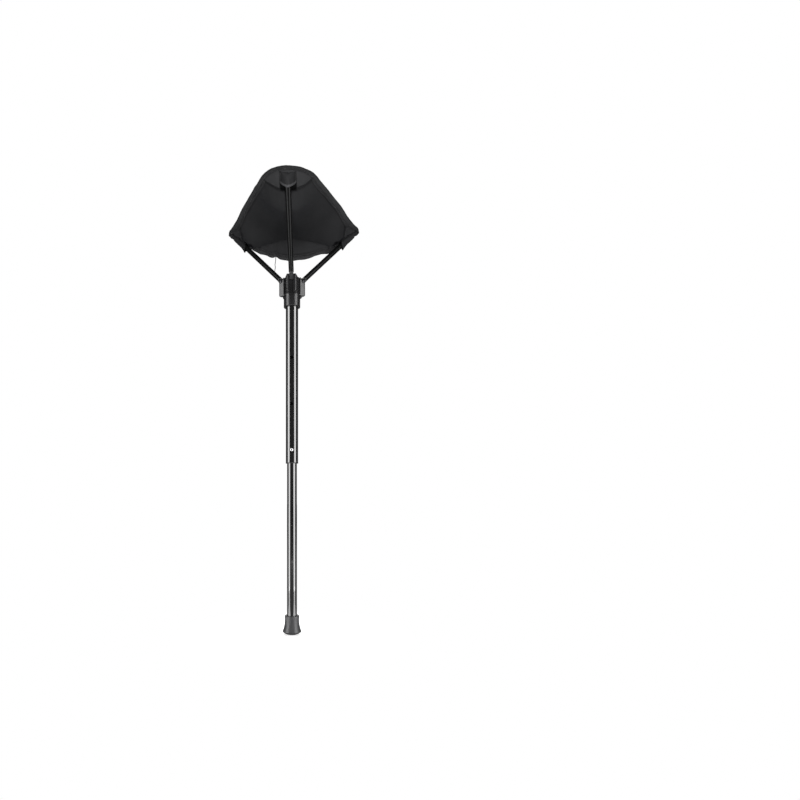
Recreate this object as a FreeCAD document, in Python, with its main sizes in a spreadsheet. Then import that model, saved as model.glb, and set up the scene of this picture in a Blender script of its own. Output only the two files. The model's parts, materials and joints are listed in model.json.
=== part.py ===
"""One-legged telescopic stool: a tube leg in two stages, a hub with three folding arms and a cloth seat.

Frame: millimetres, +Z up, origin on the ground under the foot. The front arm points along -Y.
"""
import FreeCAD, Part
import math
import os
import Sketcher
from FreeCAD import Placement, Rotation, Vector

doc = FreeCAD.newDocument("telescopic_stool")
sheet = doc.addObject("Spreadsheet::Sheet", "sizes")


class Size:
    """A length with its value in millimetres and the sheet expression that gives it."""

    def __init__(self, value, text):
        self.value = float(value)
        self.text = text

    def joined(self, other, sign, value):
        return Size(value, "(%s %s %s)" % (self.text, sign, other.text))

    def __add__(self, other):
        other = as_size(other)
        return self.joined(other, "+", self.value + other.value)

    def __sub__(self, other):
        other = as_size(other)
        return self.joined(other, "-", self.value - other.value)

    def __mul__(self, factor):
        return Size(self.value * factor, "(%s * %s)" % (self.text, factor))

    def __truediv__(self, factor):
        return Size(self.value / factor, "(%s / %s)" % (self.text, factor))

    def __neg__(self):
        return Size(-self.value, "(-1 * %s)" % self.text)

    def __float__(self):
        return self.value


def as_size(value):
    return value if isinstance(value, Size) else Size(value, repr(float(value)))


def size(name, value):
    """Write one driving dimension to the sheet and hand it back."""
    row = size.row = getattr(size, "row", 0) + 1
    sheet.set("A%d" % row, name)
    sheet.set("B%d" % row, str(value))
    sheet.setAlias("B%d" % row, name)
    return Size(value, "sizes." + name)


# Leg tubes
upper_tube_diameter = size("upper_tube_diameter", 25.0)
lower_tube_diameter = size("lower_tube_diameter", 20.0)
tube_wall = size("tube_wall", 1.2)
slide_clearance = size("slide_clearance", 0.1)

# Foot
foot_height = size("foot_height", 38.0)
foot_top_diameter = size("foot_top_diameter", 28.8)
foot_base_diameter = size("foot_base_diameter", 37.4)
foot_contact_diameter = size("foot_contact_diameter", 13.0)
foot_flange_height = size("foot_flange_height", 5.4)
foot_lip = size("foot_lip", 0.8)
foot_waist_inset = size("foot_waist_inset", 1.8)
foot_rim_round = size("foot_rim_round", 1.2)
foot_floor = size("foot_floor", 10.0)
washer_thickness = size("washer_thickness", 1.5)
washer_clearance = size("washer_clearance", 0.2)

# Bushes between the tubes
bush_length = size("bush_length", 18.0)
bush_lip = size("bush_lip", 1.5)
guide_length = size("guide_length", 30.0)
guide_cap = size("guide_cap", 2.0)
guide_opening = size("guide_opening", 15.0)

# Height lock: one spring button, three holes
button_height = size("button_height", 368.0)
button_above_mouth = size("button_above_mouth", 25.0)
button_below_top = size("button_below_top", 62.0)
hole_pitch = size("hole_pitch", 91.5)
button_diameter = size("button_diameter", 6.0)
button_hole_clearance = size("button_hole_clearance", 0.3)
button_proud = size("button_proud", 1.5)
button_dome = size("button_dome", 1.2)
button_flange_diameter = size("button_flange_diameter", 8.0)
button_flange = size("button_flange", 1.0)
button_inset = size("button_inset", 1.6)
spring_thickness = size("spring_thickness", 0.6)
spring_width = size("spring_width", 9.0)
spring_depth = size("spring_depth", 60.0)
spring_upright = size("spring_upright", 24.0)
spring_bend = size("spring_bend", 2.4)

# Hub
hub_bottom = size("hub_bottom", 653.0)
hub_top = size("hub_top", 713.0)
hub_diameter = size("hub_diameter", 33.0)
hub_cap = size("hub_cap", 13.0)
hub_core_diameter = size("hub_core_diameter", 29.2)
hub_shoulder = size("hub_shoulder", 1.5)
lug_height = size("lug_height", 36.0)
lug_reach = size("lug_reach", 25.5)
lug_width = size("lug_width", 20.4)
lug_slot = size("lug_slot", 8.4)
slot_wall = size("slot_wall", 1.7)
relief_reach = size("relief_reach", 13.8)
relief_depth = size("relief_depth", 3.2)
lug_top_round = size("lug_top_round", 6.0)
lug_foot_round = size("lug_foot_round", 3.0)
hub_edge_round = size("hub_edge_round", 1.2)
hub_crown_round = size("hub_crown_round", 3.0)
ear_corner_round = size("ear_corner_round", 3.2)
ear_crown_round = size("ear_crown_round", 5.0)

# Arm pivots
pivot_radius = size("pivot_radius", 20.0)
pivot_drop = size("pivot_drop", 7.0)
rivet_diameter = size("rivet_diameter", 4.0)
rivet_clearance = size("rivet_clearance", 0.07)
rivet_head_diameter = size("rivet_head_diameter", 7.6)
rivet_head = size("rivet_head", 1.4)
hub_rivet_drop = size("hub_rivet_drop", 4.0)
hub_rivet_diameter = size("hub_rivet_diameter", 3.2)
hub_rivet_head_diameter = size("hub_rivet_head_diameter", 6.0)
hub_rivet_head = size("hub_rivet_head", 1.3)
hub_rivet_tail = size("hub_rivet_tail", 1.2)
crown_flat = size("crown_flat", 0.5)
rivet_seat_gap = size("rivet_seat_gap", 0.05)
rivet_tail_flare = size("rivet_tail_flare", 0.64)
rivet_tail_gap = size("rivet_tail_gap", 0.4)
cut_margin = size("cut_margin", 1.0)

# Arms, measured along the arm from its pivot
arm_slope = size("arm_slope", 45.0)
arm_diameter = size("arm_diameter", 10.0)
arm_wall = size("arm_wall", 1.0)
arm_start = size("arm_start", 13.0)
arm_length = size("arm_length", 173.0)
tang_thickness = size("tang_thickness", 7.8)
tang_length = size("tang_length", 10.5)
plug_spigot = size("plug_spigot", 18.0)
cap_diameter = size("cap_diameter", 10.6)
cap_height = size("cap_height", 4.0)
cap_spigot = size("cap_spigot", 14.0)

# Cloth
cloth_thickness = size("cloth_thickness", 2.0)
hem_width = size("hem_width", 8.0)
hem_extra = size("hem_extra", 1.0)
patch_thickness = size("patch_thickness", 0.8)
cloth_gap = size("cloth_gap", 1.1)
corner_margin = size("corner_margin", 9.84)
front_corner_radius = size("front_corner_radius", 54.0)
side_corner_radius = size("side_corner_radius", 26.0)
side_corner_turn = size("side_corner_turn", 50.0)
seat_floor = size("seat_floor", 794.0)
edge_rise = size("edge_rise", 46.0)
edge_reach = size("edge_reach", 98.0)
rim_lift = size("rim_lift", 10.6)
tip_droop = size("tip_droop", 1.2)
ridge_reach = size("ridge_reach", 52.0)
ridge_sweep = size("ridge_sweep", 62.0)
ridge_rise = size("ridge_rise", 23.0)
ridge_gain = size("ridge_gain", 24.0)
flap_reach = size("flap_reach", 88.0)
pocket_width = size("pocket_width", 34.0)
pocket_wall = size("pocket_wall", 1.2)
pocket_belly = size("pocket_belly", 12.0)
pocket_end_gap = size("pocket_end_gap", 0.5)
flange_lift = size("flange_lift", 0.2)
front_pocket_length = size("front_pocket_length", 29.0)
side_pocket_length = size("side_pocket_length", 62.0)
patch_spread = size("patch_spread", 46.0)
patch_width = size("patch_width", 23.0)
patch_cut = size("patch_cut", 8.0)
seam_gap = size("seam_gap", 0.05)
fold_softness = size("fold_softness", 3.0)
rim_softness = size("rim_softness", 1.5)
cloth_grid = size("cloth_grid", 8.0)
beyond_cloth = size("beyond_cloth", 15.0)

doc.recompute()

upper_tube_bottom = button_height - button_above_mouth
lower_tube_top = button_height + button_below_top
upper_bore = upper_tube_diameter - tube_wall * 2
lower_bore = lower_tube_diameter - tube_wall * 2
lower_tube_bottom = foot_floor + washer_thickness
pivot_height = hub_top - pivot_drop
upper_tube_top = hub_top - hub_cap
cap_top = arm_length + cap_height
pocket_end = cap_top + pocket_wall + pocket_end_gap
lug_foot = hub_top - lug_height
hub_rivet_height = lug_foot - hub_rivet_drop
slope = math.radians(float(arm_slope))
arm_tip_reach = float(pivot_radius) + float(cap_top) * math.cos(slope)
arm_tip_height = float(pivot_height) + float(cap_top) * math.sin(slope)
corner_reach = arm_tip_reach + float(corner_margin)
rim_height = arm_tip_height + float(rim_lift)
ARMS = {"front": -90.0, "left": 150.0, "right": 30.0}
SIDE_TURN = math.radians(ARMS["right"])

# Where the middle of a rounded edge or a domed face lies, as shares of its size
ARC_SHARE = 1 - math.sqrt(0.5)
DOME_REACH = 0.58
DOME_RISE = 0.38
CROWN_OUT = 0.72
CROWN_UP = 0.7
CAP_DOME = 0.13
VALLEY_POWER = 1.5


def plane_of(body, role):
    return next(f for f in body.Origin.OriginFeatures if f.Role == role)


def new_body(label):
    body = doc.addObject("PartDesign::Body", label)
    body.Label = label
    return body


def sketch_on(body, role, offset=None):
    """An empty sketch on one of the body's own planes, moved out along its normal by offset."""
    sketch = body.newObject("Sketcher::SketchObject", body.Name + "_sketch")
    sketch.AttachmentSupport = (plane_of(body, role), [""])
    sketch.MapMode = "FlatFace"
    if offset is not None:
        sketch.AttachmentOffset = Placement(Vector(0, 0, offset.value), Rotation())
        sketch.setExpression("AttachmentOffset.Base.z", offset.text)
    return sketch


def fix(sketch, kind, geometry, point, value):
    """Hold one coordinate of a point at its distance from the sketch's origin."""
    index = sketch.addConstraint(Sketcher.Constraint(kind, -1, 1, geometry, point, value.value))
    sketch.setExpression("Constraints[%d]" % index, value.text)


def draw_outline(sketch, corners, bulges=None):
    """A closed outline through corners; bulges gives the middle point of each side that is an arc."""
    bulges = bulges or {}
    corners = [(as_size(x), as_size(y)) for x, y in corners]
    points = [Vector(x.value, y.value, 0) for x, y in corners]
    count = len(points)
    ends = []
    for i, (x, y) in enumerate(corners):
        start = points[i]
        end = points[(i + 1) % count]
        order = (1, 2)
        if i in bulges:
            middle = Vector(float(bulges[i][0]), float(bulges[i][1]), 0)
            sketch.addGeometry(Part.Arc(start, middle, end))
            if (middle - start).cross(end - middle).z < 0:
                order = (2, 1)
            centre = sketch.Geometry[i].Center
            if abs(end.x - start.x) > abs(end.y - start.y):
                fix(sketch, "DistanceY", i, 3, as_size(centre.y))
            else:
                fix(sketch, "DistanceX", i, 3, as_size(centre.x))
        else:
            sketch.addGeometry(Part.LineSegment(start, end))
        fix(sketch, "DistanceX", i, order[0], x)
        fix(sketch, "DistanceY", i, order[0], y)
        ends.append(order)
    for i in range(count):
        after = (i + 1) % count
        sketch.addConstraint(Sketcher.Constraint("Coincident", i, ends[i][1], after, ends[after][0]))


def draw_circle(sketch, x, y, radius):
    index = sketch.addGeometry(Part.Circle(Vector(float(x), float(y), 0), Vector(0, 0, 1), float(radius)))
    fix(sketch, "DistanceX", index, 3, as_size(x))
    fix(sketch, "DistanceY", index, 3, as_size(y))
    held = sketch.addConstraint(Sketcher.Constraint("Radius", index, float(radius)))
    sketch.setExpression("Constraints[%d]" % held, radius.text)


def revolve(body, corners, bulges=None):
    """A ring or knob: the outline in (radius, height) turned about the body's Z axis."""
    sketch = sketch_on(body, "XZ_Plane")
    draw_outline(sketch, corners, bulges)
    turned = body.newObject("PartDesign::Revolution", body.Name + "_turned")
    turned.Profile = sketch
    turned.ReferenceAxis = (sketch, ["V_Axis"])
    turned.Angle = 360.0
    return turned


def pad(body, sketch, length, midplane=False):
    solid = body.newObject("PartDesign::Pad", body.Name + "_pad")
    solid.Profile = sketch
    solid.Length = length.value
    solid.setExpression("Length", length.text)
    solid.Midplane = midplane
    return solid


def pocket(body, sketch, length, midplane=False, along_normal=False):
    cut = body.newObject("PartDesign::Pocket", body.Name + "_cut")
    cut.Profile = sketch
    cut.Length = length.value
    cut.setExpression("Length", length.text)
    cut.Midplane = midplane
    cut.Reversed = along_normal
    return cut


def round_tube(label, outside, inside, bottom, top):
    body = new_body(label)
    revolve(
        body,
        [(inside / 2, bottom), (outside / 2, bottom), (outside / 2, top), (inside / 2, top)],
    )
    return body


def make_foot():
    """Rubber ferrule: a cup round the tube's end with a flared, domed base."""
    body = new_body("rubber_foot")
    top = foot_top_diameter / 2
    base = foot_base_diameter / 2
    contact = foot_contact_diameter / 2
    flange_top = foot_flange_height + foot_lip
    bore = lower_tube_diameter / 2
    corners = [
        (0.0, 0.0),
        (contact, 0.0),
        (base, foot_flange_height),
        (base, flange_top),
        (top, foot_height - foot_rim_round),
        (top - foot_rim_round, foot_height),
        (bore, foot_height),
        (bore, foot_floor),
        (0.0, foot_floor),
    ]
    dome_middle = (
        float(contact) + DOME_REACH * (float(base) - float(contact)),
        DOME_RISE * float(foot_flange_height),
    )
    waist = (
        (float(base) + float(top)) / 2 - float(foot_waist_inset),
        (float(flange_top) + float(foot_height)) / 2,
    )
    rim = (
        float(top) - ARC_SHARE * float(foot_rim_round),
        float(foot_height) - ARC_SHARE * float(foot_rim_round),
    )
    revolve(body, corners, {1: dome_middle, 3: waist, 4: rim})
    return body


def make_washer():
    return round_tube(
        "foot_washer", lower_tube_diameter - washer_clearance, button_diameter, foot_floor, lower_tube_bottom
    )


def front_hole(body, height, clearance):
    """A round hole through the tube's front wall."""
    sketch = sketch_on(body, "XZ_Plane")
    draw_circle(sketch, 0.0, height, button_diameter / 2 + clearance)
    return pocket(body, sketch, upper_tube_diameter, along_normal=True)


def make_lower_tube():
    body = round_tube("lower_tube", lower_tube_diameter, lower_bore, lower_tube_bottom, lower_tube_top)
    front_hole(body, button_height, button_hole_clearance)
    return body


def make_upper_tube():
    body = round_tube("upper_tube", upper_tube_diameter, upper_bore, upper_tube_bottom, upper_tube_top)
    first = front_hole(body, button_height, button_hole_clearance)
    row = body.newObject("PartDesign::LinearPattern", "height_holes")
    row.Originals = [first]
    row.Direction = (first.Profile[0], ["V_Axis"])
    row.Length = hole_pitch.value * 2
    row.setExpression("Length", (hole_pitch * 2).text)
    row.Occurrences = 3
    body.Tip = row
    side = sketch_on(body, "YZ_Plane")
    draw_circle(side, 0.0, hub_rivet_height, hub_rivet_diameter / 2)
    pocket(body, side, upper_tube_diameter * 2, midplane=True)
    return body


def make_mouth_bush():
    """Plastic bush pushed into the upper tube's mouth, with a lip under its rim."""
    body = new_body("mouth_bush")
    bore = lower_tube_diameter / 2 + slide_clearance
    revolve(
        body,
        [
            (bore, upper_tube_bottom - bush_lip),
            (upper_tube_diameter / 2, upper_tube_bottom - bush_lip),
            (upper_tube_diameter / 2, upper_tube_bottom),
            (upper_bore / 2, upper_tube_bottom),
            (upper_bore / 2, upper_tube_bottom + bush_length),
            (bore, upper_tube_bottom + bush_length),
        ],
    )
    return body


def make_tube_guide():
    """Plastic cap over the lower tube's top that runs in the upper tube's bore."""
    body = new_body("tube_guide")
    outside = upper_bore / 2 - slide_clearance
    revolve(
        body,
        [
            (lower_tube_diameter / 2, lower_tube_top - guide_length),
            (outside, lower_tube_top - guide_length),
            (outside, lower_tube_top + guide_cap),
            (guide_opening / 2, lower_tube_top + guide_cap),
            (guide_opening / 2, lower_tube_top),
            (lower_tube_diameter / 2, lower_tube_top),
        ],
    )
    return body


def make_button():
    """Steel snap button: a flange inside the tube and a domed pin through both walls."""
    body = new_body("snap_button")
    pin = button_diameter / 2
    flange = button_flange_diameter / 2
    back = lower_bore / 2 - button_inset - button_flange
    front = lower_bore / 2 - button_inset
    tip = upper_tube_diameter / 2 + button_proud
    crown = (float(pin) * CROWN_OUT, float(tip) - float(button_dome) * (1 - CROWN_UP))
    revolve(
        body,
        [
            (0.0, back),
            (flange, back),
            (flange, front),
            (pin, front),
            (pin, tip - button_dome),
            (crown_flat, tip),
            (0.0, tip),
        ],
        {4: crown},
    )
    body.Placement = Placement(Vector(0, 0, float(button_height)), Rotation(Vector(1, 0, 0), 90))
    return body


def make_button_spring():
    """Leaf spring bent to a V: one arm behind the button, the other against the tube's rear wall."""
    body = new_body("button_spring")
    half = spring_thickness / 2
    front = -(lower_bore / 2 - button_inset - button_flange) + half
    bore_at_edge = math.sqrt((float(lower_bore) / 2) ** 2 - (float(spring_width) / 2) ** 2)
    rear_reach = bore_at_edge - float(seam_gap)
    rear = as_size(rear_reach) - half
    top = button_height + spring_upright / 2
    knee = button_height - spring_upright / 2
    low = button_height - spring_depth
    sketch = sketch_on(body, "YZ_Plane")
    draw_outline(
        sketch,
        [
            (front - half, top),
            (front - half, knee),
            (-spring_bend, low),
            (spring_bend, low),
            (rear + half, knee),
            (rear + half, top),
            (rear - half, top),
            (rear - half, knee),
            (spring_bend - spring_thickness, low),
            (spring_thickness - spring_bend, low),
            (front + half, knee),
            (front + half, top),
        ],
        {
            2: (0.0, float(low) - float(spring_bend)),
            8: (0.0, float(low) - float(spring_bend) + float(spring_thickness)),
        },
    )
    pad(body, sketch, spring_width, midplane=True)
    return body


def make_hub():
    """Moulded hub: a collar round the tube and three two-eared lugs, cut open for the arms."""
    body = new_body("hub")
    outside = hub_diameter / 2
    neck = hub_core_diameter / 2
    bore = upper_tube_diameter / 2
    bottom_round = (
        float(outside) - float(hub_edge_round) * ARC_SHARE,
        float(hub_bottom) + float(hub_edge_round) * ARC_SHARE,
    )
    crown_round = (
        float(neck) - float(hub_crown_round) * ARC_SHARE,
        float(hub_top) - float(hub_crown_round) * ARC_SHARE,
    )
    core = revolve(
        body,
        [
            (bore, hub_bottom),
            (outside - hub_edge_round, hub_bottom),
            (outside, hub_bottom + hub_edge_round),
            (outside, lug_foot),
            (neck, lug_foot + hub_shoulder),
            (neck, hub_top - hub_crown_round),
            (neck - hub_crown_round, hub_top),
            (0.0, hub_top),
            (0.0, upper_tube_top),
            (bore, upper_tube_top),
        ],
        {1: bottom_round, 5: crown_round},
    )
    inner = bore + slot_wall
    side = lug_width / 2
    corner = float(ear_corner_round) * ARC_SHARE
    root = math.sqrt(float(inner) ** 2 - float(side) ** 2)
    plan = sketch_on(body, "XY_Plane", lug_foot)
    draw_outline(
        plan,
        [
            (side, -root),
            (-side, -root),
            (-side, -(lug_reach - ear_corner_round)),
            (-(side - ear_corner_round), -lug_reach),
            (side - ear_corner_round, -lug_reach),
            (side, -(lug_reach - ear_corner_round)),
        ],
        {
            0: (0.0, -float(inner)),
            2: (-float(side) + corner, -float(lug_reach) + corner),
            4: (float(side) - corner, -float(lug_reach) + corner),
        },
    )
    lug = pad(body, plan, lug_height)
    profile = sketch_on(body, "YZ_Plane")
    top_turn = float(lug_top_round) * ARC_SHARE
    foot_turn = float(lug_foot_round) * ARC_SHARE
    beyond = lug_reach + cut_margin
    draw_outline(
        profile,
        [
            (-(lug_reach - lug_top_round), hub_top),
            (-(lug_reach - lug_top_round), hub_top + cut_margin),
            (-beyond, hub_top + cut_margin),
            (-beyond, lug_foot - cut_margin),
            (-(lug_reach - lug_foot_round), lug_foot - cut_margin),
            (-(lug_reach - lug_foot_round), lug_foot),
            (-lug_reach, lug_foot + lug_foot_round),
            (-lug_reach, hub_top - lug_top_round),
        ],
        {
            5: (-float(lug_reach) + foot_turn, float(lug_foot) + foot_turn),
            7: (-float(lug_reach) + top_turn, float(hub_top) - top_turn),
        },
    )
    shaped = pocket(body, profile, lug_width * 2, midplane=True)
    crowns = sketch_on(body, "XZ_Plane", neck)
    crown_turn = float(ear_crown_round) * ARC_SHARE
    draw_outline(
        crowns,
        [
            (side, hub_top - ear_crown_round),
            (side + cut_margin, hub_top - ear_crown_round),
            (side + cut_margin, hub_top + cut_margin),
            (-(side + cut_margin), hub_top + cut_margin),
            (-(side + cut_margin), hub_top - ear_crown_round),
            (-side, hub_top - ear_crown_round),
            (-(side - ear_crown_round), hub_top),
            (side - ear_crown_round, hub_top),
        ],
        {
            5: (-float(side) + crown_turn, float(hub_top) - crown_turn),
            7: (float(side) - crown_turn, float(hub_top) - crown_turn),
        },
    )
    crowned = pocket(body, crowns, lug_reach, along_normal=True)
    reliefs = []
    for hand in (1, -1):
        plan = sketch_on(body, "XY_Plane", lug_foot + hub_shoulder)
        near = (side - relief_depth) * hand
        far = (side + cut_margin) * hand
        on_neck = math.sqrt(float(neck) ** 2 - float(near) ** 2)
        past_neck = math.sqrt(float(neck) ** 2 - float(far) ** 2)
        between = (float(near) + float(far)) / 2
        draw_outline(
            plan,
            [(near, -on_neck), (near, -relief_reach), (far, -relief_reach), (far, -past_neck)],
            {3: (between, -math.sqrt(float(neck) ** 2 - between**2))},
        )
        reliefs.append(pocket(body, plan, lug_height, along_normal=True))
    slot_sketch = sketch_on(body, "YZ_Plane")
    wall_line = -(hub_diameter / 2 + slide_clearance)
    draw_outline(
        slot_sketch,
        [
            (-inner, hub_top + cut_margin),
            (-beyond, hub_top + cut_margin),
            (-beyond, lug_foot - cut_margin),
            (wall_line, lug_foot - cut_margin),
            (wall_line, lug_foot),
            (-inner, lug_foot),
        ],
    )
    slot = pocket(body, slot_sketch, lug_slot, midplane=True)
    hole_sketch = sketch_on(body, "YZ_Plane")
    draw_circle(hole_sketch, -pivot_radius, pivot_height, rivet_diameter / 2)
    hole = pocket(body, hole_sketch, lug_width * 2, midplane=True)
    ring = body.newObject("PartDesign::PolarPattern", "three_lugs")
    ring.Originals = [lug, shaped, crowned] + reliefs + [slot, hole]
    ring.Axis = (core.Profile[0], ["V_Axis"])
    ring.Angle = 360.0
    ring.Occurrences = len(ARMS)
    body.Tip = ring
    rivet_holes = sketch_on(body, "YZ_Plane")
    draw_circle(rivet_holes, 0.0, hub_rivet_height, hub_rivet_diameter / 2)
    pocket(body, rivet_holes, hub_diameter * 2, midplane=True)
    return body


def make_hub_rivets():
    """Two blind rivets that hold the collar on the tube, one each side."""
    body = doc.addObject("Part::Feature", "hub_rivets")
    body.Label = "hub_rivets"
    shank = float(hub_rivet_diameter) / 2
    head = float(hub_rivet_head_diameter) / 2
    inside = float(upper_bore) / 2
    outside = float(hub_diameter) / 2
    tail = shank + float(rivet_tail_flare)
    under_head = outside + float(rivet_seat_gap)
    above_tail = inside - float(rivet_tail_gap)
    outline = [
        Vector(0, 0, inside - float(hub_rivet_tail)),
        Vector(tail, 0, inside - float(hub_rivet_tail)),
        Vector(tail, 0, above_tail),
        Vector(shank, 0, above_tail),
        Vector(shank, 0, under_head),
        Vector(head, 0, under_head),
    ]
    edges = [Part.LineSegment(a, b).toShape() for a, b in zip(outline, outline[1:])]
    crown = Vector(float(crown_flat), 0, outside + float(hub_rivet_head))
    pole = Vector(0, 0, outside + float(hub_rivet_head))
    middle = Vector(head * CROWN_OUT, 0, outside + float(hub_rivet_head) * CROWN_UP)
    edges.append(Part.Arc(outline[-1], middle, crown).toShape())
    edges.append(Part.LineSegment(crown, pole).toShape())
    edges.append(Part.LineSegment(pole, outline[0]).toShape())
    rivet = Part.Face(Part.Wire(edges)).revolve(Vector(0, 0, 0), Vector(0, 0, 1), 360)
    height = float(hub_rivet_height)
    both = []
    for side in (-90, 90):
        one = rivet.copy()
        one.Placement = Placement(Vector(0, 0, height), Rotation(Vector(0, 1, 0), side))
        both.append(one)
    body.Shape = Part.makeCompound(both)
    return body


def arm_placement(azimuth):
    """Arm frame: origin on the pivot, +Z out along the arm, +Y along the pivot, +X to its underside."""
    turn = Rotation(Vector(0, 0, 1), azimuth)
    tilt = Rotation(Vector(0, 1, 0), 90 - float(arm_slope))
    pivot = turn.multVec(Vector(float(pivot_radius), 0, float(pivot_height)))
    return Placement(pivot, turn * tilt)


def make_pivot_rivet(name, azimuth):
    """Rivet through both ears of a lug and the arm's tang, domed at both ends."""
    body = new_body("arm_%s_pivot_rivet" % name)
    shank = rivet_diameter / 2
    head = rivet_head_diameter / 2
    side = lug_width / 2
    top = side + rivet_head
    dome = (float(head) * CROWN_OUT, float(side) + float(rivet_head) * CROWN_UP)
    revolve(
        body,
        [
            (0.0, -top),
            (crown_flat, -top),
            (head, -side),
            (shank, -side),
            (shank, side),
            (head, side),
            (crown_flat, top),
            (0.0, top),
        ],
        {1: (dome[0], -dome[1]), 5: dome},
    )
    turn = Rotation(Vector(0, 0, 1), azimuth)
    pivot = turn.multVec(Vector(float(pivot_radius), 0, float(pivot_height)))
    body.Placement = Placement(pivot, turn * Rotation(Vector(1, 0, 0), 90))
    return body


def make_root_plug(name, place):
    """Moulded plug in the arm's root, with the flat tang that turns between the lug's ears."""
    body = new_body("arm_%s_root_plug" % name)
    radius = arm_diameter / 2
    sketch = sketch_on(body, "XZ_Plane")
    draw_outline(
        sketch,
        [(radius, 0.0), (radius, tang_length), (-radius, tang_length), (-radius, 0.0)],
        {3: (0.0, -float(radius))},
    )
    pad(body, sketch, tang_thickness, midplane=True)
    spigot = radius - arm_wall
    revolve(
        body,
        [
            (0.0, tang_length),
            (radius, tang_length),
            (radius, arm_start),
            (spigot, arm_start),
            (spigot, arm_start + plug_spigot),
            (0.0, arm_start + plug_spigot),
        ],
    )
    hole = sketch_on(body, "XZ_Plane")
    draw_circle(hole, 0.0, 0.0, rivet_diameter / 2 + rivet_clearance)
    pocket(body, hole, arm_diameter * 2, midplane=True)
    body.Placement = place
    return body


def make_arm_tube(name, place):
    body = round_tube(
        "arm_%s_tube" % name, arm_diameter, arm_diameter - arm_wall * 2, arm_start, arm_length
    )
    body.Placement = place
    return body


def make_tip_cap(name, place):
    """Plastic cap with a domed head that closes the arm's end inside the cloth pocket."""
    body = new_body("arm_%s_tip_cap" % name)
    spigot = arm_diameter / 2 - arm_wall
    head = cap_diameter / 2
    shoulder = arm_length + cap_height / 2
    revolve(
        body,
        [
            (0.0, arm_length - cap_spigot),
            (spigot, arm_length - cap_spigot),
            (spigot, arm_length),
            (head, arm_length),
            (head, shoulder),
            (crown_flat, cap_top),
            (0.0, cap_top),
        ],
        {4: (float(head) * CROWN_OUT, float(cap_top) - float(cap_height) * CAP_DOME)},
    )
    body.Placement = place
    return body


def make_pocket(name, place):
    """Sewn sleeve under the cloth that holds the arm's tip: two flat flanges and a trough."""
    body = new_body("seat_pocket_%s" % name)
    length = front_pocket_length if name == "front" else side_pocket_length
    mouth = pocket_end - length
    flat = -(cap_diameter / 2 + flange_lift)
    keel = cap_diameter / 2 + flange_lift + pocket_wall
    side = pocket_width / 2
    sketch = sketch_on(body, "XY_Plane", mouth)
    draw_outline(
        sketch,
        [
            (flat, -side),
            (flat + pocket_wall, -side),
            (flat + pocket_wall, -(pocket_belly + pocket_wall)),
            (keel, -(pocket_belly / 2 + pocket_wall)),
            (keel, pocket_belly / 2 + pocket_wall),
            (flat + pocket_wall, pocket_belly + pocket_wall),
            (flat + pocket_wall, side),
            (flat, side),
        ],
    )
    pad(body, sketch, length)
    trough = sketch_on(body, "XY_Plane", mouth)
    draw_outline(
        trough,
        [
            (flat, -pocket_belly),
            (keel - pocket_wall, -(pocket_belly / 2)),
            (keel - pocket_wall, pocket_belly / 2),
            (flat, pocket_belly),
        ],
    )
    pocket(body, trough, length - pocket_wall, along_normal=True)
    body.Placement = place
    return body


def ramp(value, softness):
    """Zero below 0 and value above it, with a rounded knee."""
    if value > 12 * softness:
        return value
    return softness * math.log(1 + math.exp(value / softness))


def cloth_height(x, y):
    """Height of the cloth's underside. It lies along each arm's tip and rises to the edges
    between the arms. At the rear it rises to a ridge and hangs down behind it, and its two rear
    corners droop over the arms' tips."""
    radius = math.hypot(x, y)
    azimuth = math.degrees(math.atan2(y, x))
    near_arm = ((1 + math.cos(math.radians(3 * (azimuth - ARMS["front"])))) / 2) ** VALLEY_POWER
    above_arm = float(cap_diameter) / 2 + float(flange_lift) + float(cloth_gap)
    rise_to_cloth = float(seat_floor) - float(pivot_height) - above_arm / math.cos(slope)
    knee = float(pivot_radius) + rise_to_cloth / math.tan(slope)
    along_arm = math.tan(slope) * ramp(radius - knee, float(fold_softness))
    along_edge = float(edge_rise) * (radius / float(edge_reach)) ** 2
    height = float(seat_floor) + near_arm * along_arm + (1 - near_arm) * along_edge
    height -= ramp(height - rim_height, float(rim_softness))
    if y > 0:
        droop = float(tip_droop) * ramp(radius - arm_tip_reach, float(rim_softness))
    else:
        droop = 0.0
    behind_arms = y * math.cos(SIDE_TURN) - abs(x) * math.sin(SIDE_TURN)
    if behind_arms <= 0:
        return height - droop
    outward = (x / (corner_reach * math.cos(SIDE_TURN))) ** 2
    ridge_y = float(ridge_reach) + float(ridge_sweep) * outward
    ridge_height = float(seat_floor) + float(ridge_rise) + float(ridge_gain) * outward
    ridge_distance = ridge_y * math.cos(SIDE_TURN) - abs(x) * math.sin(SIDE_TURN)
    toward_ridge = math.sin(math.pi / 2 * min(1.0, behind_arms / ridge_distance))
    height += ramp(ridge_height - height, float(rim_softness)) * toward_ridge
    return height - droop - ramp(y - ridge_y, float(fold_softness))


def cloth_slab(below, above):
    """The cloth's surface, thickened from below under it to above over it."""
    reach = corner_reach + float(beyond_cloth)
    count = int(2 * reach / float(cloth_grid)) + 1
    rows = []
    for i in range(count):
        x = -reach + 2 * reach * i / (count - 1)
        row = []
        for j in range(count):
            y = -reach + 2 * reach * j / (count - 1)
            row.append(Vector(x, y, cloth_height(x, y) - below))
        rows.append(row)
    surface = Part.BSplineSurface()
    surface.interpolate(rows)
    return surface.toShape().extrude(Vector(0, 0, below + above))


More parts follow.
